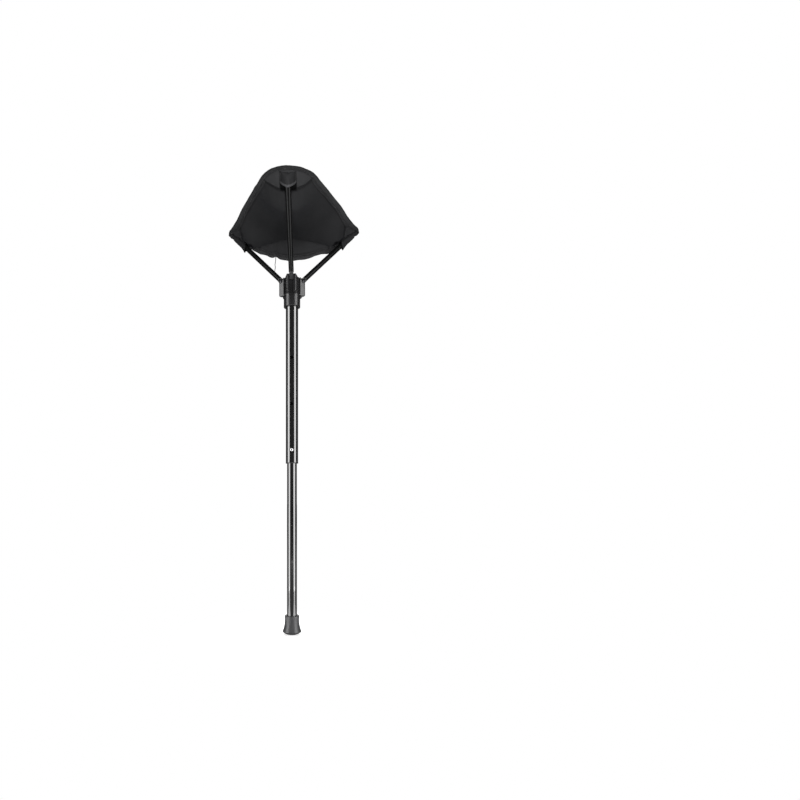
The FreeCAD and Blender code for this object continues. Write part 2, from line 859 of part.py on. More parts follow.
def seat_outline(inset):
    """Plan of the cloth: a rounded triangle, wide at the front corner, whose rear edge is drawn in
    by the hanging flap."""
    front_radius = float(front_corner_radius)
    side_radius = float(side_corner_radius)
    front_centre = Vector(0, front_radius - corner_reach, 0)
    side_reach = corner_reach - side_radius
    side_centre = Vector(side_reach * math.cos(SIDE_TURN), side_reach * math.sin(SIDE_TURN), 0)
    apart = side_centre - front_centre
    tangent = math.atan2(apart.y, apart.x) - math.acos((front_radius - side_radius) / apart.Length)
    last = SIDE_TURN + math.radians(float(side_corner_turn))

    def on_arc(centre, radius, angle):
        return centre + Vector(math.cos(angle), math.sin(angle), 0) * (radius - inset)

    def mirrored(point):
        return Vector(-point.x, point.y, 0)

    front_end = on_arc(front_centre, front_radius, tangent)
    front_middle = on_arc(front_centre, front_radius, math.radians(ARMS["front"]))
    right = [on_arc(side_centre, side_radius, a) for a in (tangent, (tangent + last) / 2, last)]
    left = [mirrored(point) for point in reversed(right)]
    rear = Vector(0, float(flap_reach) - inset, 0)
    curves = [
        Part.Arc(*right),
        Part.Arc(right[2], rear, left[0]),
        Part.Arc(*left),
        Part.LineSegment(left[2], mirrored(front_end)),
        Part.Arc(mirrored(front_end), front_middle, front_end),
        Part.LineSegment(front_end, right[0]),
    ]
    return Part.Wire([curve.toShape() for curve in curves])


def prism(wire):
    """A column on the wire, from the leg's top to as far above the cloth."""
    height = float(seat_floor) - float(hub_top)
    floor = wire.copy()
    floor.translate(Vector(0, 0, float(hub_top)))
    return Part.Face(floor).extrude(Vector(0, 0, 2 * height))


def cloth_piece(label, shape):
    piece = doc.addObject("Part::Feature", label)
    piece.Label = label
    piece.Shape = shape.Solids[0] if len(shape.Solids) == 1 else shape
    return piece


def make_seat_panel():
    slab = cloth_slab(0.0, float(cloth_thickness))
    return cloth_piece("seat_panel", slab.common(prism(seat_outline(float(hem_width)))))


def make_seat_hem():
    """The folded and stitched edge all round, thicker than the single cloth."""
    slab = cloth_slab(0.0, float(cloth_thickness) + float(hem_extra))
    ring = prism(seat_outline(0.0)).cut(prism(seat_outline(float(hem_width))))
    return cloth_piece("seat_hem", slab.common(ring))


def make_corner_patch(name, azimuth):
    """Reinforcing layer under a corner: a wing each side of the pocket, sewn out to the hem."""
    length = front_pocket_length if name == "front" else side_pocket_length
    mouth = float(pivot_radius) + (float(pocket_end) - float(length)) * math.cos(slope)
    near = float(pocket_width) / 2 + float(cloth_gap)
    far = near + float(patch_width)
    start = max(mouth, corner_reach - float(patch_spread))
    cut_back = start - float(patch_cut)
    turn = Rotation(Vector(0, 0, 1), azimuth)
    slab = cloth_slab(float(patch_thickness), -float(seam_gap))
    inside = slab.common(prism(seat_outline(float(hem_width) + float(cloth_gap))))
    wings = []
    for side in (1, -1):
        plan = [(start, near), (cut_back, far), (corner_reach, far), (corner_reach, near)]
        points = [turn.multVec(Vector(along, across * side, 0)) for along, across in plan]
        wings.extend(inside.common(prism(Part.makePolygon(points + [points[0]]))).Solids)
    return cloth_piece("seat_patch_%s" % name, Part.makeCompound(wings))


pieces = [
    make_foot(),
    make_washer(),
    make_lower_tube(),
    make_tube_guide(),
    make_button_spring(),
    make_button(),
    make_mouth_bush(),
    make_upper_tube(),
    make_hub(),
    make_hub_rivets(),
]
for arm, direction in ARMS.items():
    place = arm_placement(direction)
    pieces.append(make_pivot_rivet(arm, direction))
    pieces.append(make_root_plug(arm, place))
    pieces.append(make_arm_tube(arm, place))
    pieces.append(make_tip_cap(arm, place))
    pieces.append(make_pocket(arm, place))
    pieces.append(make_corner_patch(arm, direction))
pieces.append(make_seat_panel())
pieces.append(make_seat_hem())

doc.recompute()

for thing in doc.Objects:
    if "Invalid" in thing.State or "Error" in thing.State:
        raise RuntimeError("%s did not build: %s" % (thing.Name, thing.State))
for piece in pieces:
    if piece.Shape.isNull() or not piece.Shape.isValid() or piece.Shape.Volume <= 0:
        raise RuntimeError("%s has no valid solid" % piece.Label)

os.makedirs("parts", exist_ok=True)
for piece in pieces:
    piece.Shape.exportStep("parts/%s.step" % piece.Label)
    print("%-26s %2d solids %10.1f mm3" % (piece.Label, len(piece.Shape.Solids), piece.Shape.Volume))
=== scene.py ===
"""Looks of the one-legged telescopic stool: cloth seat, finishes, studio and camera, in metres."""

import json
from math import acos, atan2, cos, degrees, exp, hypot, log, pi, radians, sin, sqrt, tan

import bpy
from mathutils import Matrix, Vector, noise


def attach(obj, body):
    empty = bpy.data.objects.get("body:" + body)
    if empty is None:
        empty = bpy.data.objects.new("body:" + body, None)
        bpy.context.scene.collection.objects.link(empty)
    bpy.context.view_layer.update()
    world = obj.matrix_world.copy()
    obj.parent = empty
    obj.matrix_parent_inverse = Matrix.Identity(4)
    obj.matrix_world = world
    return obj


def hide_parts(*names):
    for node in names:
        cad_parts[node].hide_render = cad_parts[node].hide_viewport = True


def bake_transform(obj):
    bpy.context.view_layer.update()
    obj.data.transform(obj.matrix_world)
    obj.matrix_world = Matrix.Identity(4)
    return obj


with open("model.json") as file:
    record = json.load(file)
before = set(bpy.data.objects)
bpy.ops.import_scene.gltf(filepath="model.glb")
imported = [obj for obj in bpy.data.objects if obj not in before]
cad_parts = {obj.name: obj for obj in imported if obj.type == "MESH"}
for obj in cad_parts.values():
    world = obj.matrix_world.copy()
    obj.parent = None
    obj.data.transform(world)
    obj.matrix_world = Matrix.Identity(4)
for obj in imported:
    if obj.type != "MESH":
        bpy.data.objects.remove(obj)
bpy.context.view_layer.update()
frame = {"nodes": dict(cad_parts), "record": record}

MM = 0.001


def by_corner(front, side):
    """A value for the front corner and one for the two others."""
    return {"front": front, "left": side, "right": side}


# Sizes repeated from the part, in millimetres. The arms' directions are in degrees.
ARMS = {"front": -90.0, "left": 150.0, "right": 30.0}
PIVOT_RADIUS = 20.0
PIVOT_HEIGHT = 706.0
ARM_SLOPE = radians(45.0)
CAP_TOP = 177.0
ABOVE_ARM = 6.6
SEAT_FLOOR = 794.0
PAST_TIP = 9.84
ABOVE_TIP = 10.6
TIP_REACH = PIVOT_RADIUS + CAP_TOP * cos(ARM_SLOPE)
CORNER_REACH = TIP_REACH + PAST_TIP
RIM_HEIGHT = PIVOT_HEIGHT + CAP_TOP * sin(ARM_SLOPE) + ABOVE_TIP
FRONT_RADIUS = 54.0
SIDE_RADIUS = 26.0
SIDE_TURN = radians(30.0)
SIDE_LAST = radians(80.0)
EDGE_RISE = 46.0
EDGE_REACH = 98.0
TIP_DROOP = 1.2
RIDGE_REACH = 52.0
RIDGE_SWEEP = 62.0
RIDGE_RISE = 23.0
RIDGE_GAIN = 24.0
FLAP_REACH = 88.0
VALLEY_POWER = 1.5
FOLD_SOFTNESS = 3.0
RIM_SOFTNESS = 1.5

# The cloth as drawn here
CLOTH_MIDDLE = 1.0
CLOTH_HALF = 0.55
PATCH_THICK = 0.7
HEM_WIDTH = 9.0
POCKET_LENGTH = by_corner(20.5, 53.0)
SLEEVE_END = 180.6

# Slack of the rear flap: the share of its rise that it hangs back, and where along x it does
FLAP_SLACK = 0.8
FLAP_SLACK_SPAN = (100.0, 60.0)

# Creases of the cloth. A span holds where a crease begins and where it is at its full height. A
# pattern holds its sizes across the seat and from front to rear, its seed and its rise.
COARSE = (38.0, 38.0, 3.1, 0.9)
FINE = (15.0, 15.0, 7.7, 0.22)
UNEVEN_SPAN = (8.0, 60.0)
PULL_RISE = 1.1
PULL_TURN_SHARE = 9.0
PULL_SIZE = 90.0
PULL_ALONG_SPAN = (60.0, 105.0)
PULL_ACROSS_SPAN = (15.0, 24.0)
WAVE_Y_SPAN = (38.0, 84.0)
WAVE_X_SPAN = (100.0, 55.0)
WAVE_LEFT_SPAN = (12.0, -45.0)
WAVE_SIZE = 6.4
WAVE_RISE = 0.5
WAVE_LEFT_RISE = 1.3
WANDER = (22.0, 30.0, 1.0, 2.8)
FLAP_CREASE = (16.0, 42.0, 12.0, 1.8)

# How far the slack cloth settles at the two rear corners
EAR_SAG = 7.0
EAR_ACROSS_SPAN = (6.0, 17.0)
EAR_ALONG_SPAN = (112.0, 140.0)
REAR_SAG = 9.0
REAR_SAG_INNER_SPAN = (56.0, 76.0)
REAR_SAG_OUTER_SPAN = (112.0, 94.0)
REAR_SAG_Y_SPAN = (62.0, 88.0)


def smooth(low, high, value):
    """0 at low, 1 at high and an even curve between them. low may be the larger one."""
    share = min(1.0, max(0.0, (value - low) / (high - low)))
    return share * share * (3 - 2 * share)


def ramp(value, softness):
    """The value where it is positive and 0 where it is negative, with a rounded knee."""
    straight = 12 * softness
    if value > straight:
        return value
    return softness * log(1 + exp(value / softness))


def uneven(x, y, seed):
    return noise.noise(Vector((x, y, seed)))


def creased(pattern, x, y):
    size_x, size_y, seed, rise = pattern
    return rise * uneven(x / size_x, y / size_y, seed)


def place_by_arm(name, plan):
    """Distances of a plan point from the leg's axis along an arm's line, and across that line."""
    heading = radians(ARMS[name])
    along = plan.x * cos(heading) + plan.y * sin(heading)
    return along, plan.y * cos(heading) - plan.x * sin(heading)


def plan_point(name, along, across):
    heading = radians(ARMS[name])
    x = along * cos(heading) - across * sin(heading)
    y = along * sin(heading) + across * cos(heading)
    return Vector((x, y, 0))


def cloth_height(x, y):
    """Height of the cloth's underside, in millimetres. It is the part's own, apart from the rear
    flap's middle, which hangs slack."""
    radius = hypot(x, y)
    azimuth = degrees(atan2(y, x))
    near_arm = ((1 + cos(radians(3 * (azimuth + 90)))) / 2) ** VALLEY_POWER
    rise_to_cloth = SEAT_FLOOR - PIVOT_HEIGHT - ABOVE_ARM / cos(ARM_SLOPE)
    knee = PIVOT_RADIUS + rise_to_cloth / tan(ARM_SLOPE)
    along_arm = tan(ARM_SLOPE) * ramp(radius - knee, FOLD_SOFTNESS)
    along_edge = EDGE_RISE * (radius / EDGE_REACH) ** 2
    height = SEAT_FLOOR + near_arm * along_arm + (1 - near_arm) * along_edge
    height -= ramp(height - RIM_HEIGHT, RIM_SOFTNESS)
    droop = TIP_DROOP * ramp(radius - TIP_REACH, RIM_SOFTNESS) if y > 0 else 0.0
    behind_arms = y * cos(SIDE_TURN) - abs(x) * sin(SIDE_TURN)
    if behind_arms <= 0:
        return height - droop
    outward = (x / (CORNER_REACH * cos(SIDE_TURN))) ** 2
    ridge_y = RIDGE_REACH + RIDGE_SWEEP * outward
    ridge_height = SEAT_FLOOR + RIDGE_RISE + RIDGE_GAIN * outward
    ridge_distance = ridge_y * cos(SIDE_TURN) - abs(x) * sin(SIDE_TURN)
    toward_ridge = sin(pi / 2 * min(1.0, behind_arms / ridge_distance))
    to_ridge = ramp(ridge_height - height, RIM_SOFTNESS)
    slack = FLAP_SLACK * smooth(*FLAP_SLACK_SPAN, abs(x))
    height += (to_ridge + (ridge_height - height - to_ridge) * slack) * toward_ridge
    return height - droop - ramp(y - ridge_y, FOLD_SOFTNESS)


def ripple(x, y):
    """Small creases of the stretched cloth: soft unevenness, pull lines from the corners and
    waves in the slack rear flap."""
    plan = Vector((x, y, 0))
    away = smooth(*UNEVEN_SPAN, hypot(x, y))
    height = creased(COARSE, x, y) * away + creased(FINE, x, y) * away
    for name, azimuth in ARMS.items():
        along, across = place_by_arm(name, plan)
        if along <= 0:
            continue
        pull = uneven(atan2(across, along) * PULL_TURN_SHARE, along / PULL_SIZE, azimuth)
        band = smooth(*PULL_ALONG_SPAN, along) * smooth(*PULL_ACROSS_SPAN, abs(across))
        height += PULL_RISE * pull * band
    slack = smooth(*WAVE_Y_SPAN, y) * smooth(*WAVE_X_SPAN, abs(x))
    rise = WAVE_RISE + WAVE_LEFT_RISE * smooth(*WAVE_LEFT_SPAN, x)
    height += slack * rise * sin(x / WAVE_SIZE + creased(WANDER, x, y))
    return height + slack * creased(FLAP_CREASE, x, y)


def settle(x, y):
    """How far the slack cloth of the two rear corners settles beside the arms' tips."""
    if y <= 0:
        return 0.0
    across = abs(-abs(x) * sin(SIDE_TURN) + y * cos(SIDE_TURN))
    along = abs(x) * cos(SIDE_TURN) + y * sin(SIDE_TURN)
    ear = EAR_SAG * smooth(*EAR_ACROSS_SPAN, across) * smooth(*EAR_ALONG_SPAN, along)
    beside = smooth(*REAR_SAG_INNER_SPAN, abs(x)) * smooth(*REAR_SAG_OUTER_SPAN, abs(x))
    return ear + REAR_SAG * beside * smooth(*REAR_SAG_Y_SPAN, y)


def surface(plan):
    """Middle of the cloth at a plan point, in millimetres."""
    x, y, _ = plan
    return Vector((x, y, cloth_height(x, y) + CLOTH_MIDDLE + ripple(x, y) - settle(x, y)))


def normal_at(plan):
    """Upward normal of the cloth at a plan point, without its small creases."""
    x, y, _ = plan
    step = 0.6

    def level(px, py):
        return cloth_height(px, py) - settle(px, py)

    rise_x = level(x + step, y) - level(x - step, y)
    rise_y = level(x, y + step) - level(x, y - step)
    return Vector((-rise_x / (2 * step), -rise_y / (2 * step), 1.0)).normalized()


FRONT_CENTRE = Vector((0.0, FRONT_RADIUS - CORNER_REACH, 0.0))
SIDE_CENTRE = Vector((cos(SIDE_TURN), sin(SIDE_TURN), 0.0)) * (CORNER_REACH - SIDE_RADIUS)
APART = SIDE_CENTRE - FRONT_CENTRE
TANGENT = atan2(APART.y, APART.x) - acos((FRONT_RADIUS - SIDE_RADIUS) / APART.length)


def mirrored(point):
    return Vector((-point.x, point.y, point.z))


def rim_point(name, t, inset):
    """Plan point of the seat's edge in one corner's third, for t from 0 to 1, moved in by inset.
    The corner's arc takes the middle third of t, and a straight or curved edge each of the others."""
    if name == "left":
        return mirrored(rim_point("right", 1 - t, inset))
    if name == "front" and t < 0.5:
        return mirrored(rim_point("front", 1 - t, inset))

    def on_arc(centre, radius, angle):
        return centre + Vector((cos(angle), sin(angle), 0)) * (radius - inset)

    front_end = on_arc(FRONT_CENTRE, FRONT_RADIUS, TANGENT)
    outward = Vector((cos(-SIDE_TURN), sin(-SIDE_TURN), 0))
    edge_normal = Vector((cos(TANGENT), sin(TANGENT), 0))
    halfway = outward * (front_end.dot(edge_normal) / outward.dot(edge_normal))
    if name == "front":
        if t <= 2 / 3:
            share = (t - 0.5) * 6
            turn = -pi / 2 + (TANGENT + pi / 2) * share
            return on_arc(FRONT_CENTRE, FRONT_RADIUS, turn)
        return front_end.lerp(halfway, t * 3 - 2)
    if t < 1 / 3:
        return halfway.lerp(on_arc(SIDE_CENTRE, SIDE_RADIUS, TANGENT), t * 3)
    if t <= 2 / 3:
        return on_arc(SIDE_CENTRE, SIDE_RADIUS, TANGENT + (SIDE_LAST - TANGENT) * (t * 3 - 1))
    end = on_arc(SIDE_CENTRE, SIDE_RADIUS, SIDE_LAST)
    rear = FLAP_REACH - inset
    sag = end.y - rear
    bend = (end.x**2 + sag**2) / (2 * sag)
    x = end.x * (3 - 3 * t)
    return Vector((x, rear + bend - sqrt(bend**2 - x**2), 0))


def rim_line(name, inset, steps):
    return [rim_point(name, k / steps, inset) for k in range(steps + 1)]


def make_object(label, points, faces, material, uvs=None, shades=None, normals=None):
    """Smooth mesh object from points in millimetres. The shades are painted shade and painted highlights,
    which darken or lighten its weave point by point.
    """
    mesh = bpy.data.meshes.new(label)
    mesh.from_pydata([p * MM for p in points], [], faces)
    mesh.update()
    mesh.materials.append(material)
    mesh.polygons.foreach_set("use_smooth", [True] * len(mesh.polygons))
    painted_light = mesh.attributes.new("shade", "FLOAT", "POINT")
    painted_light.data.foreach_set("value", shades or [1.0] * len(points))
    if uvs:
        layer = mesh.uv_layers.new(name="cut")
        for loop in mesh.loops:
            layer.data[loop.index].uv = uvs[loop.vertex_index]
    if normals:
        mesh.normals_split_custom_set_from_vertices(normals)
    thing = bpy.data.objects.new(label, mesh)
    bpy.context.scene.collection.objects.link(thing)
    return thing


def follow_arm(thing):
    """Bake a piece of the seat's placement into its mesh."""
    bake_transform(thing)


def tube_faces(base, rings, around):
    """Faces of a closed tube whose rings of points follow one another from the point base on."""
    faces = []
    for ring in range(rings - 1):
        for k in range(around):
            first = base + ring * around + k
            second = base + ring * around + (k + 1) % around
            faces.append((first, second, second + around, first + around))
    last = base + (rings - 1) * around
    faces.append(tuple(base + k for k in range(around - 1, -1, -1)))
    faces.append(tuple(last + k for k in range(around)))
    return faces


def slab_faces(lines, steps, flipped):
    """Faces of a slab made of two equal grids of points, the second grid after the first."""
    width = steps + 1
    shift = (lines + 1) * width
    faces = []
    for line in range(lines):
        for step in range(steps):
            a = line * width + step
            quad = (a, a + width, a + width + 1, a + 1)
            if flipped:
                quad = (a, a + 1, a + width + 1, a + width)
            faces.append(quad)
            faces.append(tuple(shift + k for k in reversed(quad)))
    border = list(range(width))
    border += [line * width + steps for line in range(1, lines + 1)]
    border += [lines * width + step for step in range(steps - 1, -1, -1)]
    border += [line * width for line in range(lines - 1, 0, -1)]
    for a, b in zip(border, border[1:] + border[:1]):
        first, second = (b, a) if flipped else (a, b)
        faces.append((first, second, second + shift, first + shift))
    return faces


# Materials
class Nodes:
    """Short calls for the node tree of a material or of the world."""

    def __init__(self, owner, output_kind):
        owner.use_nodes = True
        self.owner = owner
        self.tree = owner.node_tree
        self.tree.nodes.clear()
        self.output = self.add(output_kind)

    def add(self, kind, *sockets, settings=None, **named):
        """New node with its inputs in order or by name, where _ stands for a space."""
        node = self.tree.nodes.new(kind)
        for key, value in (settings or {}).items():
            setattr(node, key, value)
        for socket, value in zip(node.inputs, sockets):
            self.put(socket, value)
        for key, value in named.items():
            self.put(node.inputs[key.replace("_", " ")], value)
        return node

    def put(self, socket, value):
        if isinstance(value, bpy.types.NodeSocket):
            self.tree.links.new(value, socket)
        else:
            socket.default_value = value

    def finish(self, surface_socket):
        self.tree.links.new(surface_socket, self.output.inputs[0])

    def calc(self, operation, *values):
        return self.add("ShaderNodeMath", *values, settings={"operation": operation}).outputs[0]

    def spread(self, value, width, least):
        """The value from 0 to 1 spread over a width from a least value."""
        return self.calc("MULTIPLY_ADD", value, width, least)

    def around(self, value, middle, width):
        """The value from 0 to 1 spread evenly round a middle value."""
        return self.spread(value, width, middle - width / 2)

    def place(self):
        return self.add("ShaderNodeTexCoord").outputs["Object"]

    def stretched(self, vector, scale):
        return self.add("ShaderNodeMapping", Vector=vector, Scale=scale).outputs[0]

    def noise(self, vector, scale, detail=3.0, roughness=0.5):
        texture = self.add(
            "ShaderNodeTexNoise", Vector=vector, Scale=scale, Detail=detail, Roughness=roughness
        )
        return texture.outputs[0]

    def colour_ramp(self, value, stops):
        node = self.add("ShaderNodeValToRGB", value)
        for element, (place, colour) in zip(node.color_ramp.elements, stops):
            element.position = place
            element.color = (*colour, 1)
        return node.outputs[0]

    def blend_colour(self, factor, first, second):
        """Mix of two colours, whose sockets are the seventh and eighth of a mix node."""
        node = self.add("ShaderNodeMix", factor, settings={"data_type": "RGBA"})
        self.put(node.inputs[6], first)
        self.put(node.inputs[7], second)
        return node.outputs[2]

    def fade(self, value, start, end):
        """Smooth change from 0 at start to 1 at end."""
        settings = {"interpolation_type": "SMOOTHSTEP"}
        return self.add("ShaderNodeMapRange", value, start, end, settings=settings).outputs[0]

    def mix_shader(self, factor, first, second):
        return self.add("ShaderNodeMixShader", factor, first, second).outputs[0]

    def bump(self, height, strength, distance):
        node = self.add("ShaderNodeBump", Strength=strength, Distance=distance, Height=height)
        return node.outputs[0]

    def principled(self, **inputs):
        self.finish(self.add("ShaderNodeBsdfPrincipled", **inputs).outputs[0])


def material_nodes(label):
    return Nodes(bpy.data.materials.new(label), "ShaderNodeOutputMaterial")


def grey(value, tint=0.0):
    return (value * (1 - tint), value, value * (1 + tint), 1.0)


def gloss_paint(label):
    """Glossy black enamel: slight orange peel, faint wipe marks in the roughness."""
    nodes = material_nodes(label)
    place = nodes.place()
    wipe = nodes.noise(nodes.stretched(place, (1.0, 1.0, 0.08)), scale=160.0, detail=4.0)
    peel = nodes.noise(place, scale=900.0, detail=2.0)
    tone = nodes.noise(place, scale=30.0)
    nodes.principled(
        Base_Color=nodes.blend_colour(tone, grey(0.0042), grey(0.0065, tint=0.03)),
        Roughness=nodes.spread(wipe, width=0.10, least=0.09),
        IOR=1.62,
        Coat_Weight=1.0,
        Coat_Roughness=0.045,
        Coat_IOR=1.75,
        Normal=nodes.bump(peel, strength=0.02, distance=0.0002),
    )
    return nodes.owner


def satin_paint(label):
    """Duller black enamel of the arms."""
    nodes = material_nodes(label)
    place = nodes.place()
    tone = nodes.noise(place, scale=40.0)
    smears = nodes.noise(place, scale=220.0, detail=4.0)
    nodes.principled(
        Base_Color=nodes.blend_colour(tone, grey(0.0038), grey(0.007, tint=0.03)),
        Roughness=nodes.spread(smears, width=0.12, least=0.12),
        IOR=1.2,
    )
    return nodes.owner


def moulded_plastic(label, low, high, roughness):
    """Moulded plastic: fine spark grain, a little colour drift and rubbed, uneven gloss."""
    nodes = material_nodes(label)
    place = nodes.place()
    drift = nodes.noise(place, scale=45.0, detail=5.0)
    rubbed = nodes.noise(place, scale=120.0, detail=4.0)
    grain = nodes.noise(place, scale=1400.0, detail=2.0)
    nodes.principled(
        Base_Color=nodes.colour_ramp(drift, [(0.3, low), (0.75, high)]),
        Roughness=nodes.around(rubbed, roughness, width=0.16),
        IOR=1.5,
        Normal=nodes.bump(grain, strength=0.12, distance=0.0004),
    )
    return nodes.owner


def rubber(label):
    """Grey rubber with a little dust, and painted shade that darkens the foot's edge where it nears the
    ground.
    """
    nodes = material_nodes(label)
    place = nodes.place()
    dust = nodes.noise(place, scale=90.0, detail=6.0, roughness=0.6)
    height = nodes.add("ShaderNodeSeparateXYZ", place).outputs[2]
    clean = nodes.colour_ramp(dust, [(0.2, (0.024, 0.024, 0.0252)), (0.8, (0.038, 0.038, 0.0395))])
    # Painted shade: the colour darkens towards the ground
    ground_shade = nodes.calc("MULTIPLY", nodes.fade(height, start=0.0045, end=0.0015), 0.75)
    nodes.principled(
        Base_Color=nodes.blend_colour(ground_shade, clean, grey(0.008)),
        Roughness=nodes.spread(dust, width=0.16, least=0.28),
        IOR=1.52,
        Normal=nodes.bump(nodes.noise(place, scale=1100.0), strength=0.16, distance=0.0004),
    )
    return nodes.owner


def metal(label, colour, roughness, brushed=1.0):
    """Bare or blackened metal with fine grain, drawn out along the leg where it is brushed."""
    nodes = material_nodes(label)
    place = nodes.place()
    grain = nodes.noise(nodes.stretched(place, (1.0, 1.0, 1.0 / brushed)), scale=1500.0)
    dulled = tuple(channel * 0.86 for channel in colour)
    tone = nodes.noise(place, scale=200.0, detail=4.0)
    nodes.principled(
        Base_Color=nodes.colour_ramp(tone, [(0.3, dulled), (0.7, colour)]),
        Metallic=1.0,
        Roughness=nodes.around(grain, roughness, width=0.12),
        Normal=nodes.bump(grain, strength=0.08, distance=0.0002),
    )
    return nodes.owner


def woven(label, dark, light, pitch=0.75):
    """Plain-weave polyester on the cloth's own flat measure, with uneven yarns and faint clouds.
    The pitch of the yarns is in millimetres."""
    nodes = material_nodes(label)
    flat = nodes.add("ShaderNodeUVMap", settings={"uv_map": "cut"}).outputs[0]
    across_yarn = 900.0
    along_yarn = 14.0
    axes = nodes.add("ShaderNodeSeparateXYZ", flat).outputs
    turns = 2 * pi / (pitch * MM)
    warp = nodes.calc("SINE", nodes.calc("MULTIPLY", axes[0], turns))
    weft = nodes.calc("SINE", nodes.calc("MULTIPLY", axes[1], turns))
    over = nodes.spread(nodes.calc("MULTIPLY", warp, weft), width=0.5, least=0.5)
    warp_slub = nodes.noise(nodes.stretched(flat, (across_yarn, along_yarn, 1.0)), scale=1.0, detail=2.0)
    weft_slub = nodes.noise(nodes.stretched(flat, (along_yarn, across_yarn, 1.0)), scale=1.0, detail=2.0)
    slub = nodes.calc("MULTIPLY", nodes.calc("ADD", warp_slub, weft_slub), 0.5)
    clouds = nodes.calc("MULTIPLY", nodes.noise(nodes.place(), scale=28.0, detail=5.0), 0.3)
    tone = nodes.spread(over, width=0.35, least=nodes.spread(slub, width=0.45, least=clouds))
    plain = nodes.colour_ramp(tone, [(0.2, dark), (0.85, light)])
    # The shade attribute holds painted shade and painted highlights, which multiply the weave's colour
    shade = nodes.add("ShaderNodeAttribute", settings={"attribute_name": "shade"}).outputs["Fac"]
    shaded = nodes.add("ShaderNodeVectorMath", plain, shade, settings={"operation": "MULTIPLY"})
    relief = nodes.spread(slub, width=0.5, least=over)
    nodes.principled(
        Base_Color=shaded.outputs[0],
        Roughness=0.86,
        IOR=1.45,
        Specular_IOR_Level=0.02,
        Sheen_Weight=0.01,
        Sheen_Roughness=0.45,
        Sheen_Tint=(0.8, 0.85, 1.0, 1.0),
        Normal=nodes.bump(relief, strength=0.5, distance=0.0003),
    )
    return nodes.owner


def twisted_thread(label, dark, light):
    nodes = material_nodes(label)
    strand = nodes.noise(nodes.place(), scale=2500.0, detail=2.0)
    nodes.principled(
        Base_Color=nodes.colour_ramp(strand, [(0.3, dark), (0.7, light)]),
        Roughness=0.62,
        Sheen_Weight=0.1,
        Normal=nodes.bump(strand, strength=0.4, distance=0.0002),
    )
    return nodes.owner


MATERIALS = {
    "black_tube": gloss_paint("black_tube_paint"),
    "arm_tube": satin_paint("arm_tube_paint"),
    "hub_plastic": moulded_plastic("hub_moulding", (0.011, 0.011, 0.0115), (0.017, 0.017, 0.018), 0.25),
    "plug_plastic": moulded_plastic("plug_moulding", (0.008, 0.008, 0.0085), (0.014, 0.014, 0.0145), 0.42),
    "bush_plastic": moulded_plastic("bush_moulding", (0.014, 0.014, 0.0145), (0.022, 0.022, 0.0225), 0.48),
    "foot_rubber": rubber("foot_rubber_skin"),
    "bright_steel": metal("zinc_steel", (0.62, 0.63, 0.64), roughness=0.34, brushed=6.0),
    "rivet_steel": metal("blackened_steel", (0.045, 0.045, 0.048), roughness=0.36),
    "button_chrome": metal("button_plating", (0.86, 0.86, 0.87), roughness=0.12),
}
CLOTH = woven("seat_weave", (0.0138, 0.0138, 0.0145), (0.0262, 0.0263, 0.0274))
HEM_CLOTH = woven("hem_weave", (0.028, 0.028, 0.029), (0.0505, 0.0506, 0.0523))
PATCH_CLOTH = woven("patch_weave", (0.0195, 0.0195, 0.0204), (0.038, 0.0381, 0.0395), pitch=0.9)
SEWING = twisted_thread("sewing_thread", (0.01, 0.01, 0.0105), (0.02, 0.02, 0.021))

for record in frame["record"]["subparts"]:
    node = frame["nodes"].get(record["node"])
    finish = MATERIALS.get(record["material_slot"], CLOTH)
    if node is not None:
        node.data.materials.clear()
        node.data.materials.append(finish)

# Seat panel. A line is the half width of a dark line, and a span is where a shade fades.
PANEL_COLUMNS = 150
PANEL_ROWS = 64
HEM_LAP = 3.0
CENTRE_TO_EDGE = 90.0
# Painted shade: dark lines where the panel meets the hem and the patch
EDGE_DARK = 0.5
EDGE_LINE = 1.6
SEAM_DARK = 0.6
SEAM_LINE = 1.5
SEAM_OFFSET = 1.2
SEAM_SPAN = (60.0, 50.0)
# Painted light: a darker middle, lighter towards the edges and towards the rear flap
CENTRE_TONE = 0.68
OUTER_TONE = 0.38
OUTER_SPAN = (20.0, 95.0)
REAR_TONE = 0.25
REAR_SPAN = (50.0, 75.0)
# Painted shadow in the hollow at each pocket's mouth
MOUTH_DARK = 0.9
MOUTH_FADE = 3.0
MOUTH_END_SPAN = (9.0, 4.0)
MOUTH_SIDE_SPAN = (16.0, 13.5)
MOUTH_DEPTH = by_corner(9.0, 15.0)
PATCH_EDGE = by_corner(
    [(123.5, 0.0), (122.5, 16.0), (120.5, 40.0), (117.0, 55.0)],
    [(112.0, 0.0), (112.0, 16.0), (102.0, 36.0), (96.0, 52.0)],
)


def dark_line(distance, half_width):
    """1 on a line, falling off to 0 beside it."""
    return exp(-((distance / half_width) ** 2))


def mouth_place(name):
    """Distance from the pivot to the pocket's mouth, along the arm."""
    return SLEEVE_END - POCKET_LENGTH[name]


def patch_edge(name, across):
    """How far out along the arm's line a patch's inner edge is, at a distance across it."""
    edge = PATCH_EDGE[name]
    across = abs(across)
    for (r0, c0), (r1, c1) in zip(edge, edge[1:]):
        if across <= c1:
            return r0 + (r1 - r0) * (across - c0) / (c1 - c0)
    return edge[-1][0]


def mouth_shade(name, along, across):
    """Painted shadow on the cloth that lies in a pocket's open mouth."""
    mouth = PIVOT_RADIUS + mouth_place(name) * cos(ARM_SLOPE)
    into = along - mouth + ABOVE_ARM * sin(ARM_SLOPE)
    depth = MOUTH_DEPTH[name]
    lengthwise = smooth(-depth, MOUTH_FADE - depth, into) * smooth(*MOUTH_END_SPAN, into)
    return 1.0 - MOUTH_DARK * lengthwise * smooth(*MOUTH_SIDE_SPAN, abs(across))


